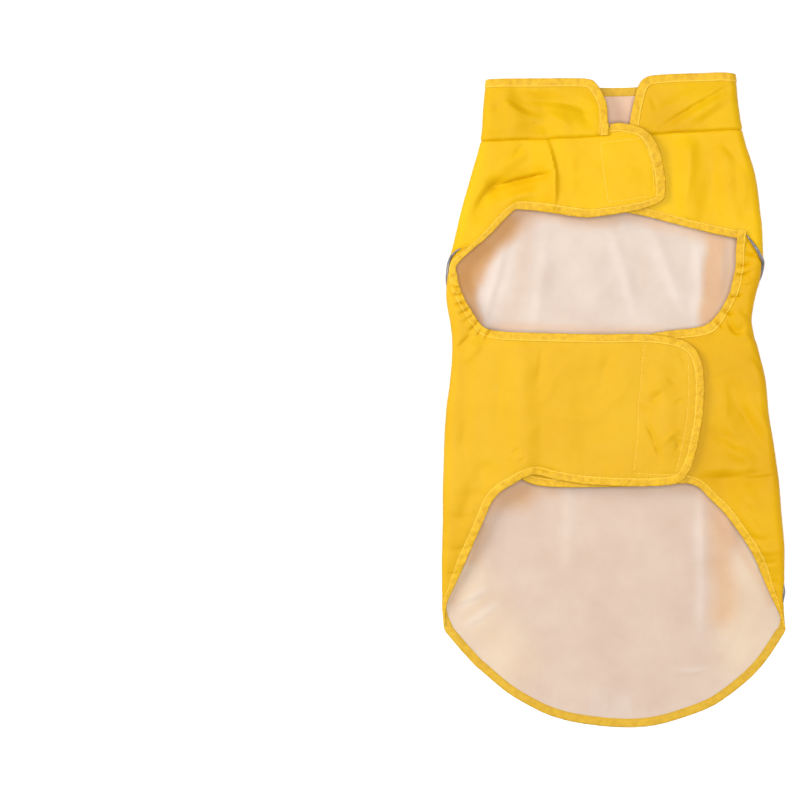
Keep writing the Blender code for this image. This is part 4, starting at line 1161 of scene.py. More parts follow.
def signed_area(outline):
    """Area inside an outline, + where it runs counterclockwise."""
    following = np.roll(outline, -1, axis=0)
    return (outline[:, 0] * following[:, 1] - following[:, 0] * outline[:, 1]).sum() / 2


def fill(outline, spacings, hole=None):
    """Triangles that fill an outline on the sheet, but for a hole, as places and corners."""
    outline = outline if signed_area(outline) > 0 else outline[::-1]
    border, inner = fill_points(outline, spacings)
    rings = [border]
    if hole is not None:
        rings.append(hole)
        inner = inner[distance_to(inner, closed(hole)) > HOLE_CLEAR]
    edges = []
    for ring in rings:
        first, count = len(edges), len(ring)
        edges += [(first + index, first + (index + 1) % count) for index in range(count)]
    places = [Vector(place) for place in np.vstack(rings + [inner])]
    found = geometry.delaunay_2d_cdt(places, edges, [], 1, JOINED)
    places = np.array([vertex[:] for vertex in found[0]])
    triangles = np.array(found[2])
    if hole is not None:
        middles = places[triangles].mean(axis=1)
        triangles = triangles[~((middles > hole.min(0)) & (middles < hole.max(0))).all(axis=1)]
    used, triangles = np.unique(triangles, return_inverse=True)
    places, triangles = places[used], triangles.reshape(-1, 3)
    a, b, c = (places[triangles[:, corner]] for corner in range(3))
    turned = ((b - a)[:, 0] * (c - a)[:, 1] - (b - a)[:, 1] * (c - a)[:, 0]) < 0
    triangles[turned] = triangles[turned][:, ::-1]
    return places, triangles


def boundary_edges(triangles):
    """Directed edges that only one triangle has."""
    edges = np.vstack([triangles[:, [0, 1]], triangles[:, [1, 2]], triangles[:, [2, 0]]])
    keys = np.sort(edges, axis=1)
    _, inverse, counts = np.unique(keys, axis=0, return_inverse=True, return_counts=True)
    return edges[counts[inverse.ravel()] == 1]


def facing_in(vertices, triangles, count):
    """Whether the outer triangles face towards the inner skin."""
    a, b, c = (vertices[triangles[:, corner]] for corner in range(3))
    inward = vertices[count:][triangles[:, 0]] - a
    return (np.cross(b - a, c - a) * inward).sum() > 0


def shell(name, outline, levels_at, materials, spacings, hole=None):
    """Closed thin piece between two levels over an outline, and its places on the sheet."""
    places, triangles = fill(outline, spacings, hole)
    count = len(places)
    vertices = np.vstack([SHEET.points(places, level) for level in levels_at(places)])
    start, end = boundary_edges(triangles).T
    sides = np.vstack([np.column_stack([end, start + count, start]),
                       np.column_stack([end + count, start + count, end])])
    faces = np.vstack([triangles, triangles[:, ::-1] + count, sides])
    if facing_in(vertices, triangles, count):
        faces = faces[:, ::-1]
    indices = np.zeros(len(faces))
    indices[len(triangles):2 * len(triangles)] = len(materials) - 1
    piece = add_object(name, vertices, faces, materials, np.tile(places, (2, 1)), indices)
    return piece, places


def tube_faces(count, corners):
    """Four-sided faces between the rings of a tube."""
    ring, corner = np.meshgrid(np.arange(count - 1), np.arange(corners), indexing="ij")
    beside = (corner + 1) % corners
    return np.stack([ring * corners + corner, ring * corners + beside,
                     (ring + 1) * corners + beside, (ring + 1) * corners + corner],
                    axis=2).reshape(-1, 4)


def outward_tube(vertices, faces):
    """Whether a tube's faces point out, from its signed volume."""
    a, b, c, d = (vertices[faces[:, corner]] for corner in range(4))
    return (np.cross(a, b) * c).sum() + (np.cross(a, c) * d).sum() > 0


def split(faces):
    """Triangles of four-sided faces."""
    return np.vstack([faces[:, [0, 1, 2]], faces[:, [0, 2, 3]]])


def round_triangles(vertices, count, corners):
    """Triangles of a round tube and its two ends, facing out."""
    faces = tube_faces(count, corners)
    fan = np.array([(0, index, index + 1) for index in range(1, corners - 1)])
    triangles = np.vstack([split(faces), fan[:, ::-1], fan + (count - 1) * corners])
    return triangles if outward_tube(vertices, faces) else triangles[:, ::-1]


def round_rings(centre, along, outward, radius, sides, height=1.0):
    """Points round a tube's middle line, in metres. A height below 1 flattens the tube."""
    across = unit(np.cross(unit(along), outward))
    up = height * np.cross(across, unit(along))
    angle = (2 * np.pi * np.arange(sides) / sides)[None, :, None]
    spokes = np.cos(angle) * across[:, None, :] + np.sin(angle) * up[:, None, :]
    return (centre[:, None, :] + radius[:, None, None] * spokes).reshape(-1, 3) * MM


# ---------------------------------------------------------------- cloth panels

BEAD_CLEAR = 0.12
GROOVE = (1.2, 2.5)           # a piped seam's groove is full to here, and gone here
WELT = (0.8, 6.0)             # the same of the seam allowances on the inside
SEAM_DENT = 0.3               # of a seam beyond its piping
UNDER_TAPE = (TAPE_WIDTH - 0.6, TAPE_WIDTH + 3.2)    # the cloth leaves its binding's middle
PIPING_FADE = (-2.0, 1.0)     # from a bead's top: its groove ends between these
HEM_FADE = (-3.0, 5.0)        # the same from its end
COLLAR_GROOVE = 0.95
COLLAR_GROOVE_WIDTH = 1.3
COLLAR_ROLL = 0.5             # the collar's cloth swells a little beside its seam
ROLL_RISE = (0.6, 2.6)
ROLL_FALL = (2.6, 9.0)
TONE_DRIFT = (Uneven(3.0, 26.0, 71), Uneven(3.0, 26.0, 72))    # in x and in y
PATCH_DENT = (0.28, 1.5)      # depth and half width of the cloth's dent along stitches
SLOT_DEPTH = 0.5
SLOT_DENT = (SLOT_DEPTH, 2.8)
BARE_END = 9.0                # of a side binding beyond its cloth, at the hem
PAST_CORNER = 9               # points of the left edge past its corner, beside the back
BACK_SEAM_CLEAR = 0.5         # from the collar seam's last point to the bound edges
COLLAR_SEAM_CLEAR = 0.4
SLIT_STEP = 1.0


def cloth_levels(edges, seams, extra=None):
    """Function for the two levels of a panel, given its bound edges and piped seams."""
    half = (OUTER_SKIN - INNER_SKIN) / 2

    def levels_at(places):
        """Levels of the outer and the inner face."""
        middle = np.full(len(places), CLOTH_MIDDLE)
        for edge in edges:
            under = 1.0 - smoothstep(distance_to(places, edge), *UNDER_TAPE)
            middle += under * (tape_middle(places) - CLOTH_MIDDLE)
        welt = np.zeros(len(places))
        for seam, top in seams:
            gap = distance_to(places, seam)
            near = 1.0 - smoothstep(gap, *GROOVE)
            beside = 1.0 - smoothstep(places[:, 1] - top, *PIPING_FADE)
            beside *= smoothstep(places[:, 1] - PIPING_END, *HEM_FADE)
            floor = bead_level(places) - PIPING_RADIUS - half - BEAD_CLEAR
            dip = beside * (floor - CLOTH_MIDDLE) - (1.0 - beside) * SEAM_DENT
            middle += near * dip
            welt += (np.maximum(1.0 - smoothstep(gap, *WELT), near) - near) * dip
        groove = 1.0 - smoothstep(distance_to(places, collar_seam), 0.0, COLLAR_GROOVE_WIDTH)
        middle -= COLLAR_GROOVE * groove
        if extra is not None:
            middle += extra(places)
        return middle + half, middle - half + welt

    return levels_at


def stitch_dent(places, curves, depth, width):
    """Small dent of the cloth along stitch lines."""
    return -depth * sum(rounded(distance_to(places, curve) / width) for curve in curves)


def stroke_share(places, tone):
    """1 in the middle of a tone's stroke, 0 outside, with its soft border and faded ends."""
    along, gap, _ = beside_line(places[:, 0], places[:, 1], (tone.x1, tone.y1),
                                (tone.x2, tone.y2))
    share = 1.0 - smoothstep(gap, tone.width * (1 - tone.soft), tone.width * (1 + tone.soft))
    if tone.fade > 0:
        share *= smoothstep(along, 0.0, tone.fade) * (1.0 - smoothstep(along, 1 - tone.fade, 1.0))
    return share


def tones_at(places):
    """Colour of the inside at each place, its painted light and shade included."""
    x = SHEET.sample(SHEET.chart_x, places)
    x = np.where(SHEET.sample(SHEET.turn, places) < 0.5, places[:, 0], x)
    y = places[:, 1]
    drift = np.column_stack([uneven(noise, x, y, row) for row in TONE_DRIFT])
    bent = np.column_stack([x, y]) + drift
    color = np.tile(ROSE_AND_PAINTED_SHADE, (len(places), 1))
    for tone in TONES:
        share = (tone.strength * stroke_share(bent, tone))[:, None]
        color = (1.0 - share) * color + share * np.array(tone.color)
    return color


def side_widths(border, tip=None):
    """Binding widths along a side edge: narrow at its end by the hem, and near its tip."""
    lengths = lengths_along(border)
    widths = np.minimum(TAPE_WIDTH, TAPE_END_WIDTH + TAPE_TAPER * (lengths[-1] - lengths))
    if tip is not None:
        widths -= TIP_NARROWING * np.exp(-((lengths - lengths[tip]) / TIP_REACH) ** 2)
    return widths


def inset(border, inward, narrow=False):
    """Cloth's edge inside a binding, nearer to its border where the binding is narrow."""
    share = side_widths(border) / TAPE_WIDTH if narrow else 1.0
    return moved(border, inward * CLOTH_IN_TAPE * share)


def seam_side(seam, inward):
    """Cloth's edge beside a piped seam."""
    return moved(seam, inward * SEAM_HALF_GAP)


def between(seam, low, high, clear):
    """The part of the collar's seam that lies between two girths."""
    return seam[(seam[:, 0] > low + clear) & (seam[:, 0] < high - clear)]


def back_outline():
    """Back with both chest flaps: collar seam, left side, hem, right side."""
    left = inset(left_edge[:left_back_corner + 1], 1)
    right = inset(right_edge[:right_corner + 1], -1)
    top = between(collar_seam - (0.0, SEAM_HALF_GAP), left[0, 0], right[0, 0], BACK_SEAM_CLEAR)
    return np.vstack([top, left, seam_side(left_seam, 1), inset(hem_edge, 1),
                      seam_side(right_seam, -1)[::-1], right[::-1]])


def side_outline(seam, edge, corner, inward):
    """Side panel: its piped seam and its bound edge, which ends before its binding does.

    Its points run up the seam on the left (inward 1), and down it on the right.
    """
    bound = inset(edge, inward, narrow=True)[corner:-round(BARE_END / EDGE_STEP)]
    return np.vstack([seam_side(seam, -inward)[::-inward], bound[::inward]])


def collar_outline():
    """Collar band: its bound edge, then its seam."""
    edge = inset(collar_edge, 1)
    seam = (collar_seam + (0.0, SEAM_HALF_GAP))[::-1]
    return np.vstack([edge, between(seam, edge[-1, 0], edge[0, 0], COLLAR_SEAM_CLEAR)])


def slot_rectangle(half_width, shorter=0.0):
    """Rectangle round the middle of the leash slot, as a closed curve."""
    low, high = LEASH_SLOT.low + shorter, LEASH_SLOT.high - shorter
    return closed(np.array([(-half_width, low), (half_width, low), (half_width, high),
                            (-half_width, high)]))


chest_stitches = [smooth_curve(on_top(line, LEFT)) for line in CHEST_PATCH_STITCHES]
belly_stitches = [smooth_curve(on_top(line, LEFT)) for line in BELLY_PATCH_STITCHES]
slot_stitches = spaced(slot_rectangle(LEASH_SLOT.half_width), EDGE_STEP)
slit = spaced(slot_rectangle(SLIT_HALF_WIDTH, SLIT_INSET), SLIT_STEP)[:-1]
back_shape = back_outline()
left_shape = side_outline(left_seam, left_edge, left_back_corner + 1, 1)
right_shape = side_outline(right_seam, right_edge, right_corner + 1, -1)
collar_shape = collar_outline()


def back_dents(places):
    """Dents of the back panel along its patch's stitches and round the leash slot."""
    return (stitch_dent(places, chest_stitches, *PATCH_DENT)
            + stitch_dent(places, [slot_stitches], *SLOT_DENT))


def belly_dents(places):
    """Dents of the upper belly flap along its patch's stitches."""
    return stitch_dent(places, belly_stitches, *PATCH_DENT)


def collar_roll(places):
    """Swelling of the collar beside its seam."""
    gap = distance_to(places, collar_seam)
    roll = smoothstep(gap, *ROLL_RISE) * (1.0 - smoothstep(gap, *ROLL_FALL))
    return COLLAR_ROLL * roll * SHEET.turned(places)


def panel(name, node_name, outline, levels_at, cloth, spacings=PANEL_SPACING, hole=None):
    """A cloth panel in place of its solid, with the tones of its inside, painted light and shade
    among them.
    """
    piece, places = shell(name, outline, levels_at, [cloth, INSIDE], spacings,
                          hole)
    colors = np.column_stack([tones_at(places), np.ones(len(places))])
    layer = piece.data.attributes.new("tone", "FLOAT_COLOR", "POINT")
    layer.data.foreach_set("color", np.tile(colors, (2, 1)).astype(np.float32).ravel())
    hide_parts(node_name)
    return piece


left_piped = (left_seam, LEFT_PIPING_TOP)
right_piped = (right_seam, RIGHT_PIPING_TOP)
back_edges = [left_edge[:left_back_corner + PAST_CORNER], right_edge[:right_corner + 1], hem_edge]
back_panel = panel("back_panel_cloth", "back_panel", back_shape,
                   cloth_levels(back_edges, [left_piped, right_piped], back_dents),
                   BACK_CLOTH, hole=slit)
left_panel = panel("left_side_cloth", "left_side_panel", left_shape,
                   cloth_levels([left_edge[left_back_corner:]], [left_piped], belly_dents),
                   LEFT_CLOTH)
right_panel = panel("right_side_cloth", "right_side_panel", right_shape,
                    cloth_levels([right_edge[right_corner:]], [right_piped]), RIGHT_CLOTH)
collar = panel("collar_cloth", "collar", collar_shape,
               cloth_levels([collar_edge], [], collar_roll), COLLAR_CLOTH, (1.2, 1.6))


# ---------------------------------------------------------------- bindings

# Section of a folded binding: (share of its width, level), round from the upper leaf's
# inner edge, over the fold and back under, then along the inside
TAPE_SECTION = np.array(
    [(0.985, 0.44), (1.0, 0.54), (0.995, 0.70), (0.97, 0.83), (0.93, 0.84), (0.895, 0.74),
     (0.85, 0.73), (0.80, 0.82), (0.70, 0.86), (0.57, 0.86), (0.43, 0.86), (0.28, 0.86)]
    + [(0.14 - 0.14 * math.sin(angle), TAPE_HALF * math.cos(angle))
       for angle in np.linspace(0.0, math.pi, 9)]
    + [(0.28, -0.86), (0.50, -0.86), (0.70, -0.86), (0.80, -0.82), (0.85, -0.75),
       (0.90, -0.76), (0.94, -0.84), (0.98, -0.78), (1.0, -0.60), (0.985, -0.44)]
    + [(0.6, -LEAF_INSIDE), (0.25, -LEAF_INSIDE), (0.13, -0.2), (0.13, 0.2),
       (0.25, LEAF_INSIDE), (0.6, LEAF_INSIDE)]
)

# Unevenness of a binding: height, size, how fast it changes across, and what its seed adds
Wrinkle = namedtuple("Wrinkle", "height size across seed")
WRINKLES = (Wrinkle(1.0, 4.6, 1.2, 0), Wrinkle(0.7, 2.4, 2.0, 1))
FOLD_WOBBLE = Wrinkle(0.22, 5.0, 0.0, 2)
PLEATS = Wrinkle(1.0, 3.0, 0.8, 3)      # narrow pleats where a binding is gathered
LEAF_WRINKLE = 0.28
WRINKLE_DROP = 0.35
PLEAT_DEPTH = 1.1
PLEAT_FLOOR = 0.25
PLEAT_GATHER = 0.7            # a binding has pleats where it is gathered more than this
DEEPEST_PLEAT = 0.4
PINCH = 0.14                  # of the stitches
PINCH_WIDTH = 0.07
TAPE_GATHER = (0.6, 0.7)      # a binding's gathers everywhere, and for each in GATHERS
TOP_ROOM = 3.0                # how far a binding's outer leaf may rise on top
CAP_JOINED = 1e-6
OUTER_FROM = LEAF_INSIDE + 0.02     # points past this level are on the outside
END_SPAN = 4                  # points over which the direction of a path's end is taken
STITCH_PITCH = 2.7
STITCH_SHARE = 0.865          # stitches run at this share of a binding's width
STITCH_LEVEL = 0.73
ALL = slice(None)


def tape_caps(vertices, count):
    """Triangles that close a binding's two ends."""
    corners = len(TAPE_SECTION)
    flat = [Vector((share * TAPE_WIDTH, level)) for share, level in TAPE_SECTION]
    edges = [(index, (index + 1) % corners) for index in range(corners)]
    found = geometry.delaunay_2d_cdt(flat, edges, [], 1, CAP_JOINED)
    order = np.array([origin[0] for origin in found[3]])
    start = order[np.array(found[2])]
    end = start + (count - 1) * corners
    along = vertices[corners:2 * corners].mean(0) - vertices[:corners].mean(0)
    a, b, c = (vertices[start[0, corner]] for corner in range(3))
    if np.cross(b - a, c - a) @ along > 0:
        return np.vstack([start[:, ::-1], end])
    return np.vstack([start, end[:, ::-1]])


class Tape:
    """A folded binding along a border of the cloth, with small wrinkles across it."""

    def __init__(self, path, inward, seed, widths=TAPE_WIDTH):
        self.path = path
        self.widths = widths * np.ones(len(path))
        self.seed = seed
        self.lengths = lengths_along(path)
        self.inward = inward
        self.normals = left_normals(path) * inward
        places = SHEET.sample(SHEET.place, path)
        everywhere, each = TAPE_GATHER
        gathers = gather_strength(places[:, 0], places[:, 1], np.sign(path[:, 0]))
        self.strength = (everywhere + each * gathers)[:, None]
        self.lift = np.zeros(len(path))
        self.thickness = np.ones(len(path))

    def lengthened(self, before=0.0, after=0.0):
        """A tape with straight pieces added at its ends."""
        step = self.lengths[-1] / (len(self.path) - 1)
        head = np.arange(math.ceil(before / step), 0, -1)[:, None] * step
        tail = np.arange(1, math.ceil(after / step) + 1)[:, None] * step
        start = unit(self.path[0] - self.path[END_SPAN])
        end = unit(self.path[-1] - self.path[-1 - END_SPAN])
        path = np.vstack([self.path[0] + head * start, self.path, self.path[-1] + tail * end])
        widths = np.pad(self.widths, (len(head), len(tail)), mode="edge")
        return Tape(path, self.inward, self.seed, widths)

    def raised(self, height, whole, run):
        """The tape raised over a length at its start, or at its end where whole < 0."""
        lengths = self.lengths if whole > 0 else self.lengths[-1] - self.lengths
        self.lift = self.lift + height * (1.0 - smoothstep(lengths, abs(whole),
                                                           abs(whole) + run))
        return self

    def thinned(self, end, run):
        """The tape pressed thin towards its end."""
        lengths = self.lengths[-1] - self.lengths
        self.thickness = end + (1.0 - end) * smoothstep(lengths, 0.0, run)
        return self

    def waves(self, share, row):
        """One kind of unevenness at shares of the width."""
        return row.height * noise(self.lengths[:, None], row.across * share * TAPE_WIDTH,
                                  row.size, self.seed + row.seed)

    def bumps(self, share):
        """Height of the wrinkles, pleats and stitches' pinches at shares of the width."""
        wrinkle = sum(self.waves(share, row) for row in WRINKLES) - WRINKLE_DROP
        turns = self.lengths[:, None] / STITCH_PITCH
        pinch = np.maximum(0.0, np.cos(2 * np.pi * turns)) ** 4
        pinch = pinch * np.exp(-((share - STITCH_SHARE) / PINCH_WIDTH) ** 2)
        pleat = PLEAT_DEPTH * np.maximum(0.0, self.waves(share, PLEATS) - PLEAT_FLOOR)
        pleat = pleat * np.maximum(0.0, self.strength - PLEAT_GATHER)
        return (LEAF_WRINKLE * self.strength * wrinkle - PINCH * pinch
                - np.minimum(pleat, DEEPEST_PLEAT))

    def across(self, share):
        """Places at shares of the width, a row for each point of the path."""
        wobble = self.strength * (1.0 - share) ** 2 * self.waves(share, FOLD_WOBBLE)
        reach = np.maximum(share * self.widths[:, None] - wobble, 0.0)
        return self.path[:, None, :] + self.normals[:, None, :] * reach[..., None]

    def levels(self, share, level):
        """Places and levels of points of the section, with wrinkles, kept off the floor."""
        places = self.across(share)
        flat = places.reshape(-1, 2)
        turned, middle = (values.reshape(places.shape[:2])
                          for values in (SHEET.turned(flat), tape_middle(flat)))
        outer = np.abs(level) > OUTER_FROM
        height = level + np.sign(level) * outer * self.bumps(share)
        height = height * self.thickness[:, None] + self.lift[:, None]
        height = np.where(level > 0, np.minimum(height, TAPE_HALF + TOP_ROOM * turned), height)
        return places, middle + height

    def build(self, name, node_name=None, part=ALL):
        """Mesh piece of the tape, or of a part of its path, in place of a solid."""
        share, level = TAPE_SECTION.T[:, None, :]
        places, level = (values[part] for values in self.levels(share, level))
        count, corners = level.shape
        vertices = SHEET.points(places.reshape(-1, 2), level.ravel())
        faces = tube_faces(count, corners)
        faces = faces if outward_tube(vertices, faces) else faces[:, ::-1]
        triangles = np.vstack([split(faces), tape_caps(vertices, count)])
        across = np.sign(TAPE_SECTION[:, 1] + 1e-6) * TAPE_SECTION[:, 0] * TAPE_WIDTH
        uvs = np.column_stack([np.repeat(self.lengths[part], corners),
                               np.tile(across, count)])
        piece = add_object(name, vertices, triangles, [TAPE], uvs)
        if node_name:
            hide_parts(node_name)
        return piece

    def stitch_line(self, sign, part=ALL):
        """Stitches on the outside leaf (sign 1) or the inside one."""
        places, level = self.levels(np.array([[STITCH_SHARE]]), np.array([[sign * STITCH_LEVEL]]))
        return running(places[part, 0], level[part, 0], sign)


TAB_LENGTH = 8.2              # the collar's binding is folded back on itself at its end
TAB_WIDTH = 6.0
TAB_LIFT = (1.72, 2 * TAB_LENGTH, 1.0)    # height, length and run of a raised part
TAB_OUTSET = 0.7
COLLAR_TAIL = 0.8             # lengths that are added at the ends of bindings
TAB_TAIL = 1.0
CHEST_TAIL = 3.5
HEM_TAIL = 5.0                # the hem's binding runs on under the side panels
STRIP_OVERLAP = 6.5           # the armhole's binding lies over the chest binding's end
STRIP_LIFT = (1.75, STRIP_OVERLAP + 0.5, 8.0)
TIP_REST = (-0.35, -3.0, 10.0)    # the side bindings' tips come down on the hem's binding
TIP_THICKNESS = (0.5, 12.0)
TIP_POINTS = 12               # the piping comes out so many points before the left corner
HEM_END_WIDTH = 2.4
HEM_END_RUN = (-2.0, 16.0)


def hem_widths():
    """Binding widths along the hem, which narrow where it turns up into the side seams."""
    lengths = lengths_along(hem_edge)
    from_end = np.minimum(lengths, lengths[-1] - lengths)
    return HEM_END_WIDTH + (TAPE_WIDTH - HEM_END_WIDTH) * smoothstep(from_end, *HEM_END_RUN)


tab_path = moved(collar_edge, -TAB_OUTSET)[-round(TAB_LENGTH / EDGE_STEP):]
collar_binding = Tape(collar_edge, 1, 101).lengthened(after=COLLAR_TAIL)
tab_binding = Tape(tab_path, 1, 105, TAB_WIDTH).lengthened(after=TAB_TAIL).raised(*TAB_LIFT)
hem_binding = Tape(hem_edge, 1, 111, hem_widths()).lengthened(HEM_TAIL, HEM_TAIL)
left_binding = Tape(left_edge, 1, 121, side_widths(left_edge, left_corner - TIP_POINTS))
left_binding = left_binding.raised(*TIP_REST).thinned(*TIP_THICKNESS)
right_chest_binding = Tape(right_chest_edge, -1, 141).lengthened(after=CHEST_TAIL)
right_belly_binding = Tape(right_belly_edge, -1, 151, side_widths(right_belly_edge))
right_belly_binding = right_belly_binding.lengthened(before=STRIP_OVERLAP).raised(*STRIP_LIFT)
right_belly_binding = right_belly_binding.raised(*TIP_REST).thinned(*TIP_THICKNESS)

chest_part = slice(left_corner + 1)
belly_part = slice(left_corner, None)
collar_tape = collar_binding.build("collar_binding_tape", "collar_binding")
collar_tab = tab_binding.build("collar_binding_tab")
hem_tape = hem_binding.build("hem_binding_tape", "hem_binding")
left_chest_tape = left_binding.build("left_chest_binding_tape", "left_chest_binding", chest_part)
left_belly_tape = left_binding.build("left_belly_binding_tape", "left_belly_binding", belly_part)
right_chest_tape = right_chest_binding.build("right_chest_binding_tape", "right_chest_binding")
right_belly_tape = right_belly_binding.build("right_belly_binding_tape", "right_belly_binding")


# ---------------------------------------------------------------- piping

BEAD_SIDES = 14
TOP_TUCK = 13.0               # lengths over which a bead slips under a binding
TOP_TUCK_CURVE = 0.6
HEM_TUCK = 8.0
HIDDEN_RADIUS = 0.2           # share of its radius that is left there
HIDDEN_DEPTH = 0.5
BEAD_WOBBLE = 0.03
BEAD_WOBBLE_SIZE = 7.0


def sweep_bead(name, node_name, seam, top, seed):
    """Round piping bead in a seam, which slips under the bindings at both ends."""
    path = seam[(seam[:, 1] <= top) & (seam[:, 1] >= PIPING_END)]
    lengths = lengths_along(path)
    shown = np.clip(lengths / TOP_TUCK, 0.0, 1.0) ** TOP_TUCK_CURVE
    shown = np.minimum(shown, smoothstep(lengths[-1] - lengths, 0.0, HEM_TUCK))
    radius = PIPING_RADIUS * (HIDDEN_RADIUS + (1.0 - HIDDEN_RADIUS) * shown)
    radius *= 1.0 + BEAD_WOBBLE * noise(lengths, 0 * lengths, BEAD_WOBBLE_SIZE, seed)
    centre = SHEET.points(path, bead_level(path) - HIDDEN_DEPTH * (1.0 - shown)) / MM
    centre[:, 2] = np.maximum(centre[:, 2], radius)
    vertices = round_rings(centre, np.gradient(centre, axis=0),
                           SHEET.sample(SHEET.outward, path), radius, BEAD_SIDES)
    count = len(path)
    triangles = round_triangles(vertices, count, BEAD_SIDES)
    around = 2 * np.pi * PIPING_RADIUS * np.arange(BEAD_SIDES) / BEAD_SIDES
    uvs = np.column_stack([np.repeat(lengths, BEAD_SIDES), np.tile(around, count)])
    piece = add_object(name, vertices, triangles, [PIPING], uvs)
    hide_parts(node_name)
    return piece


left_bead = sweep_bead("left_piping_bead", "left_piping", left_seam, LEFT_PIPING_TOP, 161)
right_bead = sweep_bead("right_piping_bead", "right_piping", right_seam, RIGHT_PIPING_TOP, 162)


# ---------------------------------------------------------------- hook and loop patches

HOOK_OUTSIDE = INNER_SKIN - 0.35             # levels of the patches' outer faces
LOOP_OUTSIDE = OUTER_SKIN + 0.3 + PATCH
PATCH_STEP = 1.5
PATCH_SPACING = (2.0, 2.2)


def patch(name, node_name, points, side, outside):
    """Hook or loop patch on the inner or outer face of a flap."""
    outline = spaced(closed(on_top(points, side)), PATCH_STEP)[:-1]

    def levels_at(places):
        """Levels of the outer and the inner face."""
        return np.full(len(places), outside), np.full(len(places), outside - PATCH)

    piece, _ = shell(name, outline, levels_at, [HOOK], PATCH_SPACING)
    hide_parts(node_name)
    return piece


chest_hook = patch("chest_hook_tape", "chest_hook_patch", CHEST_PATCH, LEFT, HOOK_OUTSIDE)
chest_loop = patch("chest_loop_tape", "chest_loop_patch", CHEST_PATCH, RIGHT, LOOP_OUTSIDE)
belly_hook = patch("belly_hook_tape", "belly_hook_patch", BELLY_PATCH, LEFT, HOOK_OUTSIDE)
belly_loop = patch("belly_loop_tape", "belly_loop_patch", BELLY_PATCH, RIGHT, LOOP_OUTSIDE)


# ---------------------------------------------------------------- stitching

THREAD_RADIUS = 0.26
THREAD_FLATNESS = 0.8
THREAD_REST = 0.9             # radii between the floor and a thread's middle
ARCH = (1.15, 0.55, 0.6)      # a stitch's rise and its ends' depth, in radii, and its curve
TIP_RADIUS = 0.45             # share of the radius at a stitch's tips
STITCH_LENGTH = 2.3
FIRST_STITCH = 0.4
STITCH_DEPTH = 0.26           # of the stitches in the cloth's dent
SLOT_STITCH_HALF = 0.6
SLOT_STITCH_PITCH = 0.48
STITCH_RINGS = 5
STITCH_SIDES = 6


def running(curve, level, sign):
    """Stitches one after another along a curve: their ends, the levels there, and the side."""
    lengths = lengths_along(curve)
    starts = np.arange(FIRST_STITCH, lengths[-1] - STITCH_LENGTH, STITCH_PITCH)
    wanted = starts[:, None] + np.array([0.0, STITCH_LENGTH])
    ends = np.stack([np.interp(wanted, lengths, curve[:, axis]) for axis in (0, 1)], axis=2)
    return ends, np.interp(wanted, lengths, level), sign


def whipped(curve, half, pitch, level):
    """Short stitches across a curve, as round a buttonhole."""
    middles = spaced(curve, pitch)
    reach = half * left_normals(middles, pitch)
    ends = np.stack([middles - reach, middles + reach], axis=1)
    return ends, np.full(ends.shape[:2], level), 1.0


def on_cloth(curves):
    """Stitch lines on a panel's outside, in the dent that they pull."""
    return [running(curve, np.full(len(curve), OUTER_SKIN - STITCH_DEPTH), 1.0)
            for curve in curves]


def stitch_tubes(ends, levels, sign):
    """Stitches between their ends, as points, triangles and places in the UV map."""
    count = len(ends)
    share = np.linspace(0.0, 1.0, STITCH_RINGS)
    places = ends[:, :1] + share[None, :, None] * (ends[:, 1:] - ends[:, :1])
    places = places.reshape(-1, 2)
    rise, sunk, curve = ARCH
    arch = np.tile(np.sin(np.pi * share) ** curve, count)
    height = (levels[:, :1] + share * (levels[:, 1:] - levels[:, :1])).ravel()
    centre = SHEET.points(places, height + sign * THREAD_RADIUS * (rise * arch - sunk)) / MM
    centre[:, 2] = np.maximum(centre[:, 2], THREAD_RADIUS * THREAD_REST)
    grouped = centre.reshape(count, STITCH_RINGS, 3)
    along = np.repeat(grouped[:, -1] - grouped[:, 0], STITCH_RINGS, axis=0)
    tips = (share == 0) | (share == 1)
    radius = THREAD_RADIUS * np.tile(np.where(tips, TIP_RADIUS, 1.0), count)
    points = round_rings(centre, along, SHEET.sample(SHEET.outward, places) * sign, radius,
                         STITCH_SIDES, THREAD_FLATNESS)
    one = round_triangles(points, STITCH_RINGS, STITCH_SIDES)
    starts = np.arange(count)[:, None, None] * STITCH_RINGS * STITCH_SIDES
    return points, (starts + one).reshape(-1, 3), np.repeat(places, STITCH_SIDES, axis=0)


def stitches(name, lines, material=THREAD):
    """One piece with the stitches of several lines."""
    points, triangles, uvs = zip(*(stitch_tubes(*line) for line in lines))
    first = np.cumsum([0] + [len(part) for part in points])
    triangles = np.vstack([part + start for part, start in zip(triangles, first)])
    return add_object(name, np.vstack(points), triangles, [material],
                      np.vstack(uvs))


def sewn(name, runs, curves=()):
    """A panel's stitching outside, with that of its patch, and its stitching inside."""
    outside = [tape.stitch_line(1.0, part) for tape, part in runs] + on_cloth(curves)
    inside = [tape.stitch_line(-1.0, part) for tape, part in runs]
    return [stitches(name + "_stitching", outside),
            stitches(name + "_inside_stitching", inside, INSIDE_THREAD)]


collar_threads = sewn("collar", [(collar_binding, ALL)])
back_threads = sewn("back", [(left_binding, chest_part), (right_chest_binding, ALL),
                             (hem_binding, ALL)], chest_stitches)
left_threads = sewn("left_side", [(left_binding, belly_part)], belly_stitches)
right_threads = sewn("right_side", [(right_belly_binding, ALL)])
slot_line = whipped(slot_stitches, SLOT_STITCH_HALF, SLOT_STITCH_PITCH, OUTER_SKIN - SLOT_DEPTH)
slot_thread = stitches("leash_slot_stitching", [slot_line], SLOT_THREAD)


# ---------------------------------------------------------------- floor, light and camera

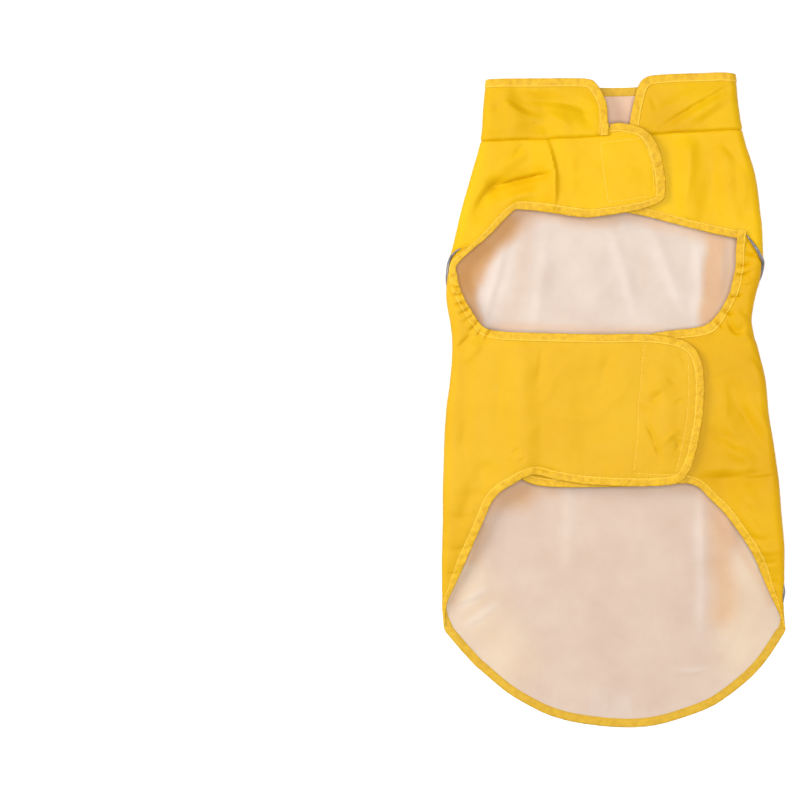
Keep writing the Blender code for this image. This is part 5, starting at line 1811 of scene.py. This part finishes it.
# Sizes in metres
FRAME_WIDTH = 0.6             # width of the floor that the picture shows
FRAME_CENTRE = (-0.160, 0.0002)
CAMERA_HEIGHT = 3.4
SENSOR = 36.0                 # in millimetres
FARTHEST = 20.0
FLOOR_HALF = 4.0
FLOOR_DROP = 0.0002
ROOM_LIGHT = 0.17


def add_floor():
    """A pale, matt floor."""
    mesh = bpy.data.meshes.new("floor")
    corners = [(x * FLOOR_HALF, y * FLOOR_HALF, 0) for x, y in ((-1, -1), (1, -1), (1, 1), (-1, 1))]
    mesh.from_pydata(corners, [], [(0, 1, 2, 3)])
    look = Look("pale_floor")
    look.put(look.shader, {
        "Base Color": look.shaded((0.93, 0.93, 0.93), (0.915, 0.915, 0.915), 0.3, 0.0),
        "Roughness": 0.7})
    mesh.materials.append(look.material)
    floor = link(mesh, "floor")
    floor.location.z = -FLOOR_DROP


def add_light(name, place, size, power):
    """A soft square light that shines on the coat's middle."""
    light = bpy.data.lights.new(name, "AREA")
    light.shape = "SQUARE"
    light.size = size
    light.energy = power
    lamp = link(light, name)
    lamp.location = place
    towards_coat = Vector() - Vector(place)
    lamp.rotation_euler = towards_coat.to_track_quat("-Z", "Y").to_euler()


def add_world():
    """Even white light from all round."""
    world = bpy.data.worlds.new("studio")
    world.use_nodes = True
    background = world.node_tree.nodes["Background"]
    background.inputs["Color"].default_value = (1.0, 1.0, 1.0, 1.0)
    background.inputs["Strength"].default_value = ROOM_LIGHT
    bpy.context.scene.world = world


def add_camera():
    """A camera that looks straight down."""
    camera = bpy.data.cameras.new("camera")
    camera.sensor_width = SENSOR
    camera.lens = SENSOR * CAMERA_HEIGHT / FRAME_WIDTH
    camera.clip_end = FARTHEST
    holder = link(camera, "camera")
    holder.location = (*FRAME_CENTRE, CAMERA_HEIGHT)
    bpy.context.scene.camera = holder


add_floor()
add_world()
add_light("top", (0.0, 0.0, 3.8), size=1.8, power=148.0)
add_light("key", (-1.15, 0.45, 0.85), size=0.7, power=14.5)
add_light("fill", (1.3, -0.2, 0.6), size=0.9, power=4.0)
add_camera()
bpy.context.scene.view_settings.view_transform = "Standard"
